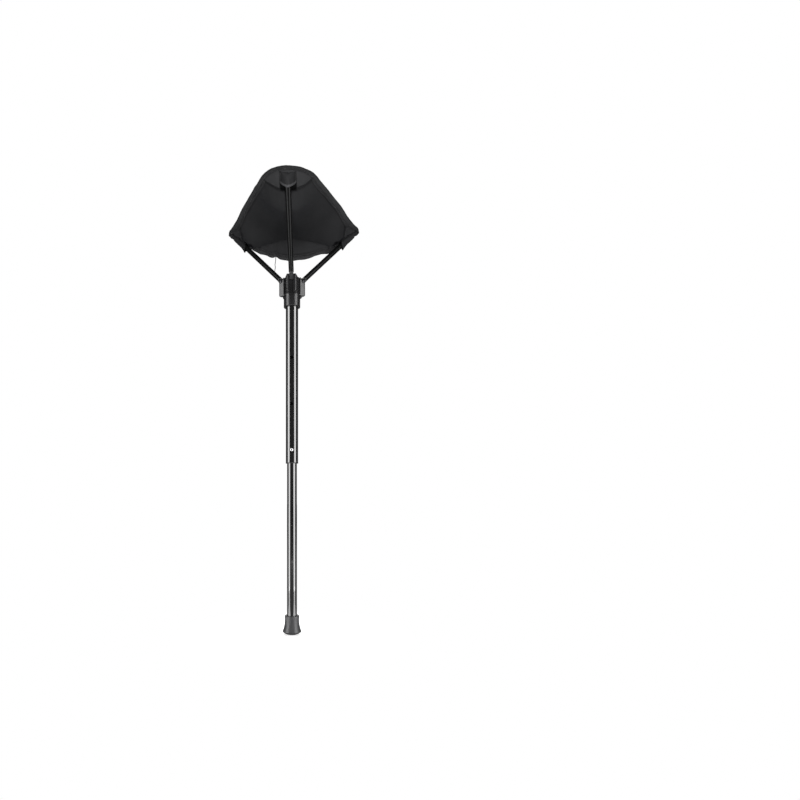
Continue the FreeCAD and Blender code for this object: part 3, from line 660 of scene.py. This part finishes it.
def panel_shade(name, x, y, to_edge):
    """Painted shade on the cloth's underside: dark lines where the panel meets the hem and the patch, the
    painted shadow in the hollow at the mouth of each pocket, and a painted darker middle that lightens
    towards the edges and the rear flap."""
    along, across = place_by_arm(name, Vector((x, y, 0)))
    across = abs(across)
    seam = along - patch_edge(name, across) + SEAM_OFFSET
    edge = 1.0 - EDGE_DARK * dark_line(to_edge, EDGE_LINE)
    edge *= 1.0 - SEAM_DARK * dark_line(seam, SEAM_LINE) * smooth(*SEAM_SPAN, across)
    # Painted light: darker in the middle, lighter outward and at the rear flap
    painted_light = CENTRE_TONE + OUTER_TONE * smooth(*OUTER_SPAN, hypot(x, y))
    painted_light += REAR_TONE * smooth(*REAR_SPAN, y)
    return edge * painted_light * mouth_shade(name, along, across)


def shared_normals(sides):
    """Vertex normals over several meshes that meet along their borders, from the faces of all."""
    sums = {}

    def key(p):
        return (round(p.x, 3), round(p.y, 3), round(p.z, 3))

    for points, faces, _, _ in sides:
        for face in faces:
            normal = Vector((0, 0, 0))
            for i, index in enumerate(face):
                following = points[face[(i + 1) % len(face)]]
                normal += points[index].cross(following)
            for index in face:
                place = key(points[index])
                sums[place] = sums.get(place, Vector((0, 0, 0))) + normal
    return [[sums[key(p)].normalized() for p in points] for points, _, _, _ in sides]


def panel_side(name, offset):
    """One face of the cloth in one third of the seat: points, faces, flat measure and shades."""
    points = []
    uvs = []
    shades = []

    def put(x, y, to_edge):
        plan = (x, y, 0)
        points.append(surface(plan) + normal_at(plan) * offset)
        uvs.append((x * MM, y * MM))
        shades.append(panel_shade(name, x, y, to_edge) if offset < 0 else 1.0)

    put(0.0, 0.0, CENTRE_TO_EDGE)
    edge_line = rim_line(name, HEM_WIDTH - HEM_LAP, PANEL_COLUMNS)
    for row in range(1, PANEL_ROWS + 1):
        share = row / PANEL_ROWS
        for edge in edge_line:
            put(edge.x * share, edge.y * share, edge.length * (1 - share) - HEM_LAP)
    width = PANEL_COLUMNS + 1
    faces = [(0, 1 + c, 2 + c) for c in range(PANEL_COLUMNS)]
    for row in range(PANEL_ROWS - 1):
        base = 1 + row * width
        for c in range(PANEL_COLUMNS):
            faces.append((base + c, base + width + c, base + width + c + 1, base + c + 1))
    return points, faces, uvs, shades


def make_panels():
    """The cloth's three thirds, each a thin closed solid that meets its neighbours at the borders."""
    width = PANEL_COLUMNS + 1
    tops = [panel_side(name, CLOTH_HALF) for name in ARMS]
    unders = [panel_side(name, -CLOTH_HALF) for name in ARMS]
    top_normals = shared_normals(tops)
    under_normals = [[-n for n in normals] for normals in shared_normals(unders)]
    panels = {}
    for i, name in enumerate(ARMS):
        points, faces, uvs, shades = tops[i]
        under_points, under_faces, under_uvs, under_shades = unders[i]
        shift = len(points)
        every = faces + [tuple(shift + k for k in reversed(f)) for f in under_faces]
        left = [0] + [1 + r * width for r in range(PANEL_ROWS)]
        right = [0] + [1 + r * width + PANEL_COLUMNS for r in range(PANEL_ROWS)]
        rim = [1 + (PANEL_ROWS - 1) * width + c for c in range(width)]
        for a, b in zip(left, left[1:]):
            every.append((a + shift, b + shift, b, a))
        for border in (right, rim):
            for a, b in zip(border, border[1:]):
                every.append((a, b, b + shift, a + shift))
        panels[name] = make_object(
            "seat_cloth_" + name, points + under_points, every, CLOTH,
            uvs + under_uvs, shades + under_shades, top_normals[i] + under_normals[i],
        )
    return panels


# Hem: distance in from the seat's edge and height off the cloth's middle, over half its section
OUTER_SEAM = 5.5
INNER_SEAM = 7.3
HEM_HALF_PROFILE = [
    (HEM_WIDTH, 0.62), (HEM_WIDTH - 0.5, 1.15), (HEM_WIDTH - 1.1, 1.2), (INNER_SEAM, 0.98), (6.7, 1.22),
    (6.1, 1.22), (OUTER_SEAM, 0.98), (4.9, 1.25), (2.4, 1.3), (1.0, 1.25), (0.3, 0.9),
]
HEM_PROFILE = [(inset, -height) for inset, height in HEM_HALF_PROFILE] + [(0.0, 0.0)]
HEM_PROFILE += reversed(HEM_HALF_PROFILE)
HEM_COLUMNS = 240
HEM_LENGTH = 290.0
HEM_MIDDLE = 4.0
HEM_SWELL = 0.25
PUCKER_END = 0.02
# Painted shade: the seams' grooves and the hem's outer edge
INNER_GROOVE = 1.1
OUTER_GROOVE = 0.7
OUTER_GROOVE_SHARE = 0.6
GROOVE_DARK = 0.55
HEM_TONE = 0.95
DARKEST = 0.2
HEM_EDGE_DARK = 0.5
HEM_EDGE_SPAN = (0.2, 2.6)

# Puckers: their number along the hem, their seed, their drift across the hem and their rise
PUCKERS = [(60.0, 0.0, 0.06, 0.35), (150.0, 9.0, 0.1, 0.16)]


def pucker(name, t, inset):
    """Little hollows that the hem's stitches draw into the doubled cloth."""
    height = 0.0
    for number, seed, drift, rise in PUCKERS:
        height += rise * uneven(t * number, ARMS[name] + seed, inset * drift)
    return height * smooth(0.0, PUCKER_END, t) * smooth(1.0, 1.0 - PUCKER_END, t)


def hem_shade(inset):
    """Painted shade in the grooves of the two seams and on a darker outer edge."""
    groove = dark_line(inset - INNER_SEAM, INNER_GROOVE)
    groove += OUTER_GROOVE_SHARE * dark_line(inset - OUTER_SEAM, OUTER_GROOVE)
    edge = 1.0 - HEM_EDGE_DARK * (1.0 - smooth(*HEM_EDGE_SPAN, inset))
    return max(DARKEST, HEM_TONE - GROOVE_DARK * groove) * edge


def make_hem(name):
    points = []
    uvs = []
    shades = []
    for column in range(HEM_COLUMNS + 1):
        t = column / HEM_COLUMNS
        for inset, offset in HEM_PROFILE:
            plan = rim_point(name, t, inset)
            lift = offset * (1 + HEM_SWELL * pucker(name, t, HEM_MIDDLE))
            base = surface(plan)
            base.z += pucker(name, t, inset)
            points.append(base + normal_at(plan) * lift)
            uvs.append((t * HEM_LENGTH * MM, (inset if offset > 0 else -inset) * MM))
            shades.append(hem_shade(inset))
    faces = tube_faces(0, HEM_COLUMNS + 1, len(HEM_PROFILE))
    return make_object("seat_hem_" + name, points, faces, HEM_CLOTH, uvs, shades)


# Stitches. A ring holds its place along the stitch, its girth and its height.
STITCH_RINGS = [
    (-0.5, 0.35, -0.25), (-0.36, 0.85, 0.35), (0.0, 1.0, 1.0), (0.36, 0.85, 0.35), (0.5, 0.35, -0.25),
]
STITCH_SIDES = 6
STITCH_PITCH = 3.1
SLEEVE_PITCH = 3.0
STITCH_SHARE = 0.74
STITCH_WIDTH = 0.55
STITCH_HEIGHT = 0.42
STITCH_LIFT = 1.12
STITCH_AHEAD = 0.3
LEAST_LENGTH = 1e-6
HEM_LINE_STEPS = 400


def stitch(points, faces, centre, along, up, pitch):
    """One sewn stitch: a small domed bar that dips into the cloth at its ends."""
    side = up.cross(along).normalized()
    base = len(points)
    for place, girth, lift in STITCH_RINGS:
        middle = centre + along * (place * STITCH_SHARE * pitch) + up * (lift * STITCH_HEIGHT / 2)
        for k in range(STITCH_SIDES):
            angle = 2 * pi * k / STITCH_SIDES
            out = side * (cos(angle) * STITCH_WIDTH / 2 * girth)
            out += up * (sin(angle) * STITCH_HEIGHT / 2 * girth)
            points.append(middle + out)
    faces.extend(tube_faces(base, len(STITCH_RINGS), STITCH_SIDES))


def sew(points, faces, line, skin_at):
    """Stitches at an even pitch along a line of plan points. skin_at gives the cloth's skin there
    and the direction out of it."""
    spent = 0.0
    following = STITCH_PITCH / 2
    for a, b in zip(line, line[1:]):
        step = (b - a).length
        while following <= spent + step and step > 0:
            share = (following - spent) / step
            centre, up = skin_at(a.lerp(b, share))
            along = skin_at(a.lerp(b, min(1.0, share + STITCH_AHEAD)))[0] - centre
            if along.length > LEAST_LENGTH:
                stitch(points, faces, centre, along.normalized(), up, STITCH_PITCH)
            following += STITCH_PITCH
        spent += step


def skin(side, lift):
    """The cloth's skin as a function of a plan point. side is 1 above and -1 below."""

    def at(plan):
        up = normal_at(plan) * side
        return surface(plan) + up * lift, up

    return at


def make_stitching(name):
    """The hem's two rows of stitches, above and below."""
    points = []
    faces = []
    for inset in (OUTER_SEAM, INNER_SEAM):
        line = rim_line(name, inset, HEM_LINE_STEPS)
        for side in (1, -1):
            sew(points, faces, line, skin(side, STITCH_LIFT))
    return make_object("seat_stitches_" + name, points, faces, SEWING)


# Corner patches
PATCH_COLUMNS = 84
PATCH_ROWS = 26
PATCH_WIDEST = 60.0
PATCH_LAP = 1.5
PATCH_LEAST = 0.4
PATCH_STEP = 0.25
PATCH_MARGIN = 1.0
PATCH_GAP = 0.02
PATCH_TURNED_ROWS = 1.5
PATCH_TURNED = 0.35
# Painted shade along the patch's inner seam and towards the hem's edge
PATCH_TONE = 1.1
PATCH_SEAM_DARK = 0.6
PATCH_SEAM_LINE = 1.6
PATCH_HEM_DARK = 0.4
PATCH_HEM_SPAN = (3.0, 0.0)
PATCH_SEAM_INSET = 2.2
PATCH_EDGE_STEPS = 300
PATCH_SEAM_STEPS = 200
POCKET_HALF = 14.6


def hem_line(name):
    """The line under the hem that a patch reaches, as distances along and across the arm's line."""
    line = rim_line(name, HEM_WIDTH - PATCH_LAP, PATCH_EDGE_STEPS)
    return [place_by_arm(name, p) for p in line]


def hem_reach(line, across):
    """How far out along the arm's line the edge is, at a distance across it."""
    for (r0, c0), (r1, c1) in zip(line, line[1:]):
        if c0 <= across <= c1 and c1 > c0:
            return r0 + (r1 - r0) * (across - c0) / (c1 - c0)
    return 0.0


def patch_half(name, line):
    """Distance across the arm's line at which the patch's inner edge meets the hem."""
    half = PATCH_WIDEST
    while min(hem_reach(line, half), hem_reach(line, -half)) < patch_edge(name, half) + PATCH_MARGIN:
        half -= PATCH_STEP
    return half


def make_patch(name):
    """The doubled cloth of one corner, whose inner edge is turned under and thins out."""
    line = hem_line(name)
    half = patch_half(name, line)
    points = []
    uvs = []
    shades = []
    for layer, turned in ((-CLOTH_HALF - PATCH_GAP, 0.0), (-CLOTH_HALF - PATCH_THICK, PATCH_TURNED)):
        for c in range(PATCH_COLUMNS + 1):
            across = half * (2 * c / PATCH_COLUMNS - 1)
            low = patch_edge(name, across)
            high = max(low + PATCH_LEAST, hem_reach(line, across))
            for r in range(PATCH_ROWS + 1):
                share = r / PATCH_ROWS
                thinned = turned * max(0.0, 1 - share * PATCH_ROWS / PATCH_TURNED_ROWS)
                along = low + (high - low) * share
                plan = plan_point(name, along, across)
                up = normal_at(plan)
                points.append(surface(plan) + up * (layer + thinned))
                uvs.append((along * MM, across * MM))
                # Painted shade: a dark line along the inner seam, darker cloth towards the hem's edge, and
                # the painted shadow of the pocket's mouth
                seam = PATCH_SEAM_DARK * dark_line(along - low, PATCH_SEAM_LINE)
                seam += PATCH_HEM_DARK * smooth(*PATCH_HEM_SPAN, high - along)
                shades.append((PATCH_TONE - seam) * mouth_shade(name, along, across))
    faces = slab_faces(PATCH_COLUMNS, PATCH_ROWS, flipped=False)
    return make_object("seat_corner_patch_" + name, points, faces, PATCH_CLOTH, uvs, shades)


def patch_stitching(name):
    """Stitches along a patch's inner edge. On the underside they stop at the pocket's sides."""
    points = []
    faces = []
    line = []
    half = patch_half(name, hem_line(name)) - PATCH_MARGIN
    for k in range(PATCH_SEAM_STEPS + 1):
        across = half * (2 * k / PATCH_SEAM_STEPS - 1)
        line.append(plan_point(name, patch_edge(name, across) + PATCH_SEAM_INSET, across))
    left = [p for p in line if place_by_arm(name, p)[1] < -POCKET_HALF]
    right = [p for p in line if place_by_arm(name, p)[1] > POCKET_HALF]
    sew(points, faces, line, skin(1, CLOTH_HALF))
    for run in (left, right):
        sew(points, faces, run, skin(-1, CLOTH_HALF + PATCH_THICK))
    return make_object("seat_patch_stitches_" + name, points, faces, SEWING)


# Pockets
TROUGH_HALF = 12.0
TROUGH_DEPTH = 13.9
TROUGH_CLEARANCE = 1.8
TROUGH_POWER = 0.6
POCKET_GAP = 0.05
POCKET_WALL = 0.9
POCKET_SEAM = 12.9
CLOSING_START = 172.0
CLOSING_LENGTH = 9.2
CLOSING_POWER = 0.5
SLEEVE_CREASE_SIZE = (7.0, 6.0)
SLEEVE_CREASE_RISE = 0.35
GAPE = by_corner(1.5, 2.0)
GAPE_LENGTH = 22.0
MOUTH_TAPER = 2.2
SCOOP = by_corner(1.0, 3.0)
TAPER_SPAN = (0.2, 0.0)
LIP_RISE = 0.75
LIP_SPAN = (3.6, 2.6)
LIP_SEAM = 3.2
LIP_GROOVE = 0.25
SIDE_GROOVE = 0.3
GROOVE_HALF = 0.5
EDGE_WIDTH = 0.8
EDGE_THIN = 0.65
# Painted highlight on the front pocket's lip, and painted shade on the seams, the flanks and inside the
# sleeve
LIT_LIP = by_corner(1.6, 0.0)
LIT_LIP_SPAN = (4.4, 3.4)
LIP_SHADE_PLACE = 3.4
LIP_SHADE_LINE = 0.7
LIP_SHADE_SHARE = 0.8
SIDE_SHADE_LINE = 0.8
SLEEVE_TONE = 0.9
SLEEVE_SEAM_DARK = 0.5
FLANK = by_corner(0.25, 0.7)
FLANK_SPAN = (8.0, 12.0)
INNER_SHADE = 0.08
SLEEVE_COLUMNS = 48
SLEEVE_ROWS = by_corner(24, 44)
SLEEVE_SEAM_STEPS = 60
SLEEVE_SEAM_ENDS = (1, 2)
SKIN_STEP = 0.4


def pocket_point(name, along_arm, across, layer):
    """A point of the sleeve: on the cloth's underside at its flanges, round the arm between them."""
    reach = PIVOT_RADIUS + along_arm * cos(ARM_SLOPE)
    down = plan_point(name, 1.0, 0.0) * sin(ARM_SLOPE) - Vector((0, 0, 1)) * cos(ARM_SLOPE)
    plan = plan_point(name, reach - ABOVE_ARM * sin(ARM_SLOPE), across)
    under = surface(plan)
    under -= normal_at(plan) * (CLOTH_HALF + PATCH_THICK + POCKET_GAP)
    aside = min(1.0, abs(across) / TROUGH_HALF)
    belly = ((1 + cos(pi * aside)) / 2) ** TROUGH_POWER
    closing = max(0.0, min(1.0, (along_arm - CLOSING_START) / CLOSING_LENGTH))
    belly *= cos(pi / 2 * closing) ** CLOSING_POWER
    crease = creased((*SLEEVE_CREASE_SIZE, ARMS[name], SLEEVE_CREASE_RISE), along_arm, across)
    gape = GAPE[name] * smooth(GAPE_LENGTH, 0.0, along_arm - mouth_place(name))
    return under + down * (belly * (TROUGH_DEPTH - TROUGH_CLEARANCE + crease + gape) + layer)


def scooped_mouth(name, across):
    """Place of the mouth's edge along the arm, cut back towards the tip in its middle."""
    return mouth_place(name) + SCOOP[name] * cos(pi / 2 * across / POCKET_HALF)


def sleeve_relief(past_mouth, across, half):
    """Thickness of the sleeve's wall: its lip, the seams' grooves and the thin edges."""
    lip = LIP_RISE * smooth(*LIP_SPAN, past_mouth)
    lip -= LIP_GROOVE * dark_line(past_mouth - LIP_SEAM, GROOVE_HALF)
    lip -= SIDE_GROOVE * dark_line(abs(across) - POCKET_SEAM, GROOVE_HALF)
    flange = smooth(half, half - EDGE_WIDTH, abs(across))
    return (POCKET_WALL + lip) * (1.0 - EDGE_THIN * (1.0 - flange))


def sleeve_shade(name, past_mouth, across):
    """Painted shade in the seams and on the flanks, and a painted highlight on the lip."""
    seam = dark_line(abs(across) - POCKET_SEAM, SIDE_SHADE_LINE)
    seam += LIP_SHADE_SHARE * dark_line(past_mouth - LIP_SHADE_PLACE, LIP_SHADE_LINE)
    lit_lip = LIT_LIP[name] * smooth(*LIT_LIP_SPAN, past_mouth)
    flank = 1.0 - FLANK[name] * smooth(*FLANK_SPAN, abs(across))
    return max(DARKEST, SLEEVE_TONE + lit_lip - SLEEVE_SEAM_DARK * seam) * flank


def make_sleeve(name):
    """The sewn sleeve that holds an arm's tip under one corner."""
    rows = SLEEVE_ROWS[name]
    points = []
    uvs = []
    shades = []
    for inner in (False, True):
        for r in range(rows + 1):
            share = r / rows
            half = POCKET_HALF - MOUTH_TAPER * smooth(*TAPER_SPAN, share)
            for c in range(SLEEVE_COLUMNS + 1):
                across = half * (2 * c / SLEEVE_COLUMNS - 1)
                start = scooped_mouth(name, across)
                along = start + (SLEEVE_END - start) * share
                wall = 0.0 if inner else sleeve_relief(along - start, across, half)
                points.append(pocket_point(name, along, across, wall))
                uvs.append((along * MM, across * MM))
                # Painted shade inside the sleeve, and painted shade and highlight on its outside
                shades.append(INNER_SHADE if inner else sleeve_shade(name, along - start, across))
    faces = slab_faces(rows, SLEEVE_COLUMNS, flipped=True)
    return make_object("seat_sleeve_" + name, points, faces, PATCH_CLOTH, uvs, shades)


def sleeve_run(points, faces, name, line):
    """Stitches along a line of pairs: the distance along the arm and the distance across it."""
    spent = 0.0
    following = SLEEVE_PITCH / 2
    for (s0, c0), (s1, c1) in zip(line, line[1:]):
        a = pocket_point(name, s0, c0, POCKET_WALL)
        b = pocket_point(name, s1, c1, POCKET_WALL)
        step = (b - a).length
        while following <= spent + step:
            centre = a.lerp(b, (following - spent) / step)
            aside = pocket_point(name, s0, c0 + SKIN_STEP, POCKET_WALL) - a
            onward = pocket_point(name, s0 + SKIN_STEP, c0, POCKET_WALL) - a
            up = aside.cross(onward).normalized()
            outward = pocket_point(name, s0, c0, POCKET_WALL + 1) - a
            if up.dot(outward) < 0:
                up = -up
            stitch(points, faces, centre, (b - a).normalized(), up, SLEEVE_PITCH)
            following += SLEEVE_PITCH
        spent += step


def sleeve_stitching(name):
    """Stitches along a sleeve's two sides and round its mouth."""
    points = []
    faces = []
    start = mouth_place(name) + SLEEVE_SEAM_ENDS[0]
    length = SLEEVE_END - SLEEVE_SEAM_ENDS[1] - start
    shares = [k / SLEEVE_SEAM_STEPS for k in range(SLEEVE_SEAM_STEPS + 1)]
    for side in (-POCKET_SEAM, POCKET_SEAM):
        sleeve_run(points, faces, name, [(start + length * share, side) for share in shares])
    across = [TROUGH_HALF * (2 * share - 1) for share in shares]
    sleeve_run(points, faces, name, [(scooped_mouth(name, c) + LIP_SEAM, c) for c in across])
    return make_object("seat_sleeve_stitches_" + name, points, faces, SEWING)


# Loose thread
THREAD_RADIUS = 0.7
THREAD_SIDES = 6
THREAD_STEPS = 6
THREAD_PATH = [
    (-39.5, 87.5, 797.0), (-40.2, 88.0, 786.0), (-41.4, 87.6, 777.0),
    (-40.6, 87.0, 771.5), (-41.4, 86.4, 766.0), (-41.8, 86.0, 761.5),
]


def through_points(path, steps):
    """Smooth line through the points of a path."""
    line = []
    for a, b, c, d in zip([path[0]] + path, path, path[1:], path[2:] + [path[-1]]):
        for k in range(steps):
            t = k / steps
            bend = (2 * a - 5 * b + 4 * c - d) * t**2 + (3 * b - a - 3 * c + d) * t**3
            line.append(0.5 * ((2 * b) + (c - a) * t + bend))
    return line


def make_thread():
    """The sewing thread's end that hangs from the rear hem."""
    line = through_points([Vector(p) for p in THREAD_PATH], THREAD_STEPS)
    points = []
    for p in line:
        for k in range(THREAD_SIDES):
            angle = 2 * pi * k / THREAD_SIDES
            points.append(p + Vector((cos(angle), sin(angle), 0)) * THREAD_RADIUS)
    faces = tube_faces(0, len(line), THREAD_SIDES)
    return make_object("hem_thread_end", points, faces, SEWING)


# Seat assembly
panels = make_panels()
for name, panel in panels.items():
    hem = make_hem(name)
    sewn = make_stitching(name)
    patch = make_patch(name)
    patch_sewn = patch_stitching(name)
    sleeve = make_sleeve(name)
    sleeve_sewn = sleeve_stitching(name)
    for piece in (panel, hem, sewn, patch, patch_sewn):
        follow_arm(piece)
    for piece in (sleeve, sleeve_sewn):
        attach(piece, name + "_arm")
    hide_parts("seat_panel")
    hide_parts("seat_hem")
    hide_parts("seat_patch_" + name)
    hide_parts("seat_pocket_" + name)
thread = make_thread()
follow_arm(thread)

# Studio, in metres and watts
STRIP_ANGLE = radians(61)
STRIP_DISTANCE = 0.5
STRIP_WIDTH = 0.3
STRIP_HEIGHT = 0.95
STRIP_POWER = 4.3
LOW_PLACE = (0.5, -0.2, 0.12)
LOW_TARGET = (0, 0, 0.03)
LOW_SIZE = (0.3, 0.2)
LOW_POWER = 1.0
LYING_DISTANCE = 0.32
LYING_HEIGHT = 0.002
LYING_SIZE = (0.17, 0.5)
LYING_POWER = 0.8
FILL_STRENGTH = 0.3
FLOOR_HALF = 14.0
SHADOW_RADIUS = 0.06
PLAIN_RADIUS = 0.24

# Lights of the room: label, size, power, place and target
ROOM_LIGHTS = [
    ("front", (0.9, 0.24), 27, (0.15, -1.3, 0.13), (0, 0, 0.8)),
    ("overhead", (2.2, 2.2), 30, (0, 0.1, 2.3), (0, 0, 0.7)),
    ("back", (1.4, 1.2), 45, (0.3, 1.7, 1.5), (0, 0, 0.6)),
]


def aim(thing, place, target):
    thing.location = place
    thing.rotation_mode = "QUATERNION"
    thing.rotation_quaternion = (Vector(target) - Vector(place)).to_track_quat("-Z", "Y")


def soft_box(label, size, power):
    """Rectangular light that the camera doesn't see."""
    light = bpy.data.lights.new(label, "AREA")
    light.shape = "RECTANGLE"
    light.size, light.size_y = size
    light.energy = power
    box = bpy.data.objects.new(label, light)
    bpy.context.scene.collection.objects.link(box)
    box.visible_camera = False
    return box


def beside(side, distance, height):
    """Place to the front of the stool and to one side of it, where side is -1 or 1."""
    return (side * distance * sin(STRIP_ANGLE), -distance * cos(STRIP_ANGLE), height)


def make_lights():
    """Two tall strips draw the highlights of the tubes, and two boxes lying on the floor carry them
    down to the foot. Only gloss sees these four. Of the others it sees the overhead one alone."""
    sides = (("left", -1), ("right", 1))
    for name, side in sides:
        middle = STRIP_HEIGHT / 2
        strip = soft_box("strip_" + name, (STRIP_WIDTH, STRIP_HEIGHT), STRIP_POWER)
        aim(strip, beside(side, STRIP_DISTANCE, middle), (0, 0, middle))
        strip.visible_diffuse = False
    for name, side in sides:
        low = soft_box("low_" + name, LOW_SIZE, LOW_POWER)
        aim(low, (side * LOW_PLACE[0], *LOW_PLACE[1:]), LOW_TARGET)
        low.visible_glossy = False
        lying = soft_box("floor_" + name, LYING_SIZE, LYING_POWER)
        lying.location = beside(side, LYING_DISTANCE, LYING_HEIGHT)
        lying.rotation_euler = (pi, 0, side * STRIP_ANGLE)
        lying.visible_diffuse = False
    for label, size, power, place, target in ROOM_LIGHTS:
        box = soft_box(label, size, power)
        aim(box, place, target)
        box.visible_glossy = label == "overhead"


def make_floor():
    """White floor to the camera, lit and shadowed round the foot and plain white further out. Other
    rays meet a dark grey one."""
    nodes = material_nodes("studio_floor")
    path = nodes.add("ShaderNodeLightPath").outputs
    length = nodes.add("ShaderNodeVectorMath", nodes.place(), settings={"operation": "LENGTH"})
    far = nodes.fade(length.outputs["Value"], start=SHADOW_RADIUS, end=PLAIN_RADIUS)
    matt = nodes.add("ShaderNodeBsdfDiffuse", Color=grey(0.82)).outputs[0]
    bounce = nodes.add("ShaderNodeBsdfDiffuse", Color=grey(0.08)).outputs[0]
    dull = nodes.add("ShaderNodeBsdfDiffuse", Color=grey(0.12)).outputs[0]
    lift = nodes.add("ShaderNodeEmission", Color=grey(1.0), Strength=0.6).outputs[0]
    white = nodes.add("ShaderNodeEmission", Color=grey(1.0), Strength=1.0).outputs[0]
    lit = nodes.add("ShaderNodeAddShader", matt, lift).outputs[0]
    seen = nodes.mix_shader(far, lit, white)
    mixed = nodes.mix_shader(path["Is Camera Ray"], bounce, seen)
    nodes.finish(nodes.mix_shader(path["Is Glossy Ray"], mixed, dull))
    mesh = bpy.data.meshes.new("studio_floor")
    corners = [(x * FLOOR_HALF, y * FLOOR_HALF, 0) for x, y in ((-1, -1), (1, -1), (1, 1), (-1, 1))]
    mesh.from_pydata(corners, [], [(0, 1, 2, 3)])
    mesh.materials.append(nodes.owner)
    floor = bpy.data.objects.new("studio_floor", mesh)
    bpy.context.scene.collection.objects.link(floor)


def make_world():
    """White to the camera and through glass. A gloss surface sees white only from behind the stool,
    where the backdrop is, and the dim studio elsewhere."""
    world = bpy.data.worlds.new("studio")
    bpy.context.scene.world = world
    nodes = Nodes(world, "ShaderNodeOutputWorld")
    path = nodes.add("ShaderNodeLightPath").outputs
    direction = nodes.add("ShaderNodeTexCoord").outputs["Generated"]
    rearward = nodes.add("ShaderNodeSeparateXYZ", direction).outputs[1]
    behind = nodes.add(
        "ShaderNodeMapRange", rearward, From_Min=0.80, From_Max=0.95, To_Min=0.05, To_Max=1.0
    )

    def background(strength):
        return nodes.add("ShaderNodeBackground", Color=grey(1.0), Strength=strength).outputs[0]

    seen = nodes.calc("MAXIMUM", path["Is Camera Ray"], path["Is Transmission Ray"])
    backdrop = background(behind.outputs[0])
    gloss = nodes.mix_shader(path["Is Glossy Ray"], background(FILL_STRENGTH), backdrop)
    nodes.finish(nodes.mix_shader(seen, gloss, background(1.0)))


make_lights()
make_floor()
make_world()

# Camera
VIEW_ANGLE = radians(3.0)
VIEW_DISTANCE = 1.08
VIEW_HEIGHT = 0.278
camera_data = bpy.data.cameras.new("camera")
camera_data.sensor_width = 36.0
camera_data.lens = 24.3
camera_data.shift_x = 0.135
camera_data.shift_y = 0.119
camera = bpy.data.objects.new("camera", camera_data)
bpy.context.scene.collection.objects.link(camera)
standpoint = (VIEW_DISTANCE * sin(VIEW_ANGLE), -VIEW_DISTANCE * cos(VIEW_ANGLE), VIEW_HEIGHT)
aim(camera, standpoint, (0, 0, VIEW_HEIGHT))
bpy.context.scene.camera = camera
bpy.context.scene.view_settings.view_transform = "Standard"
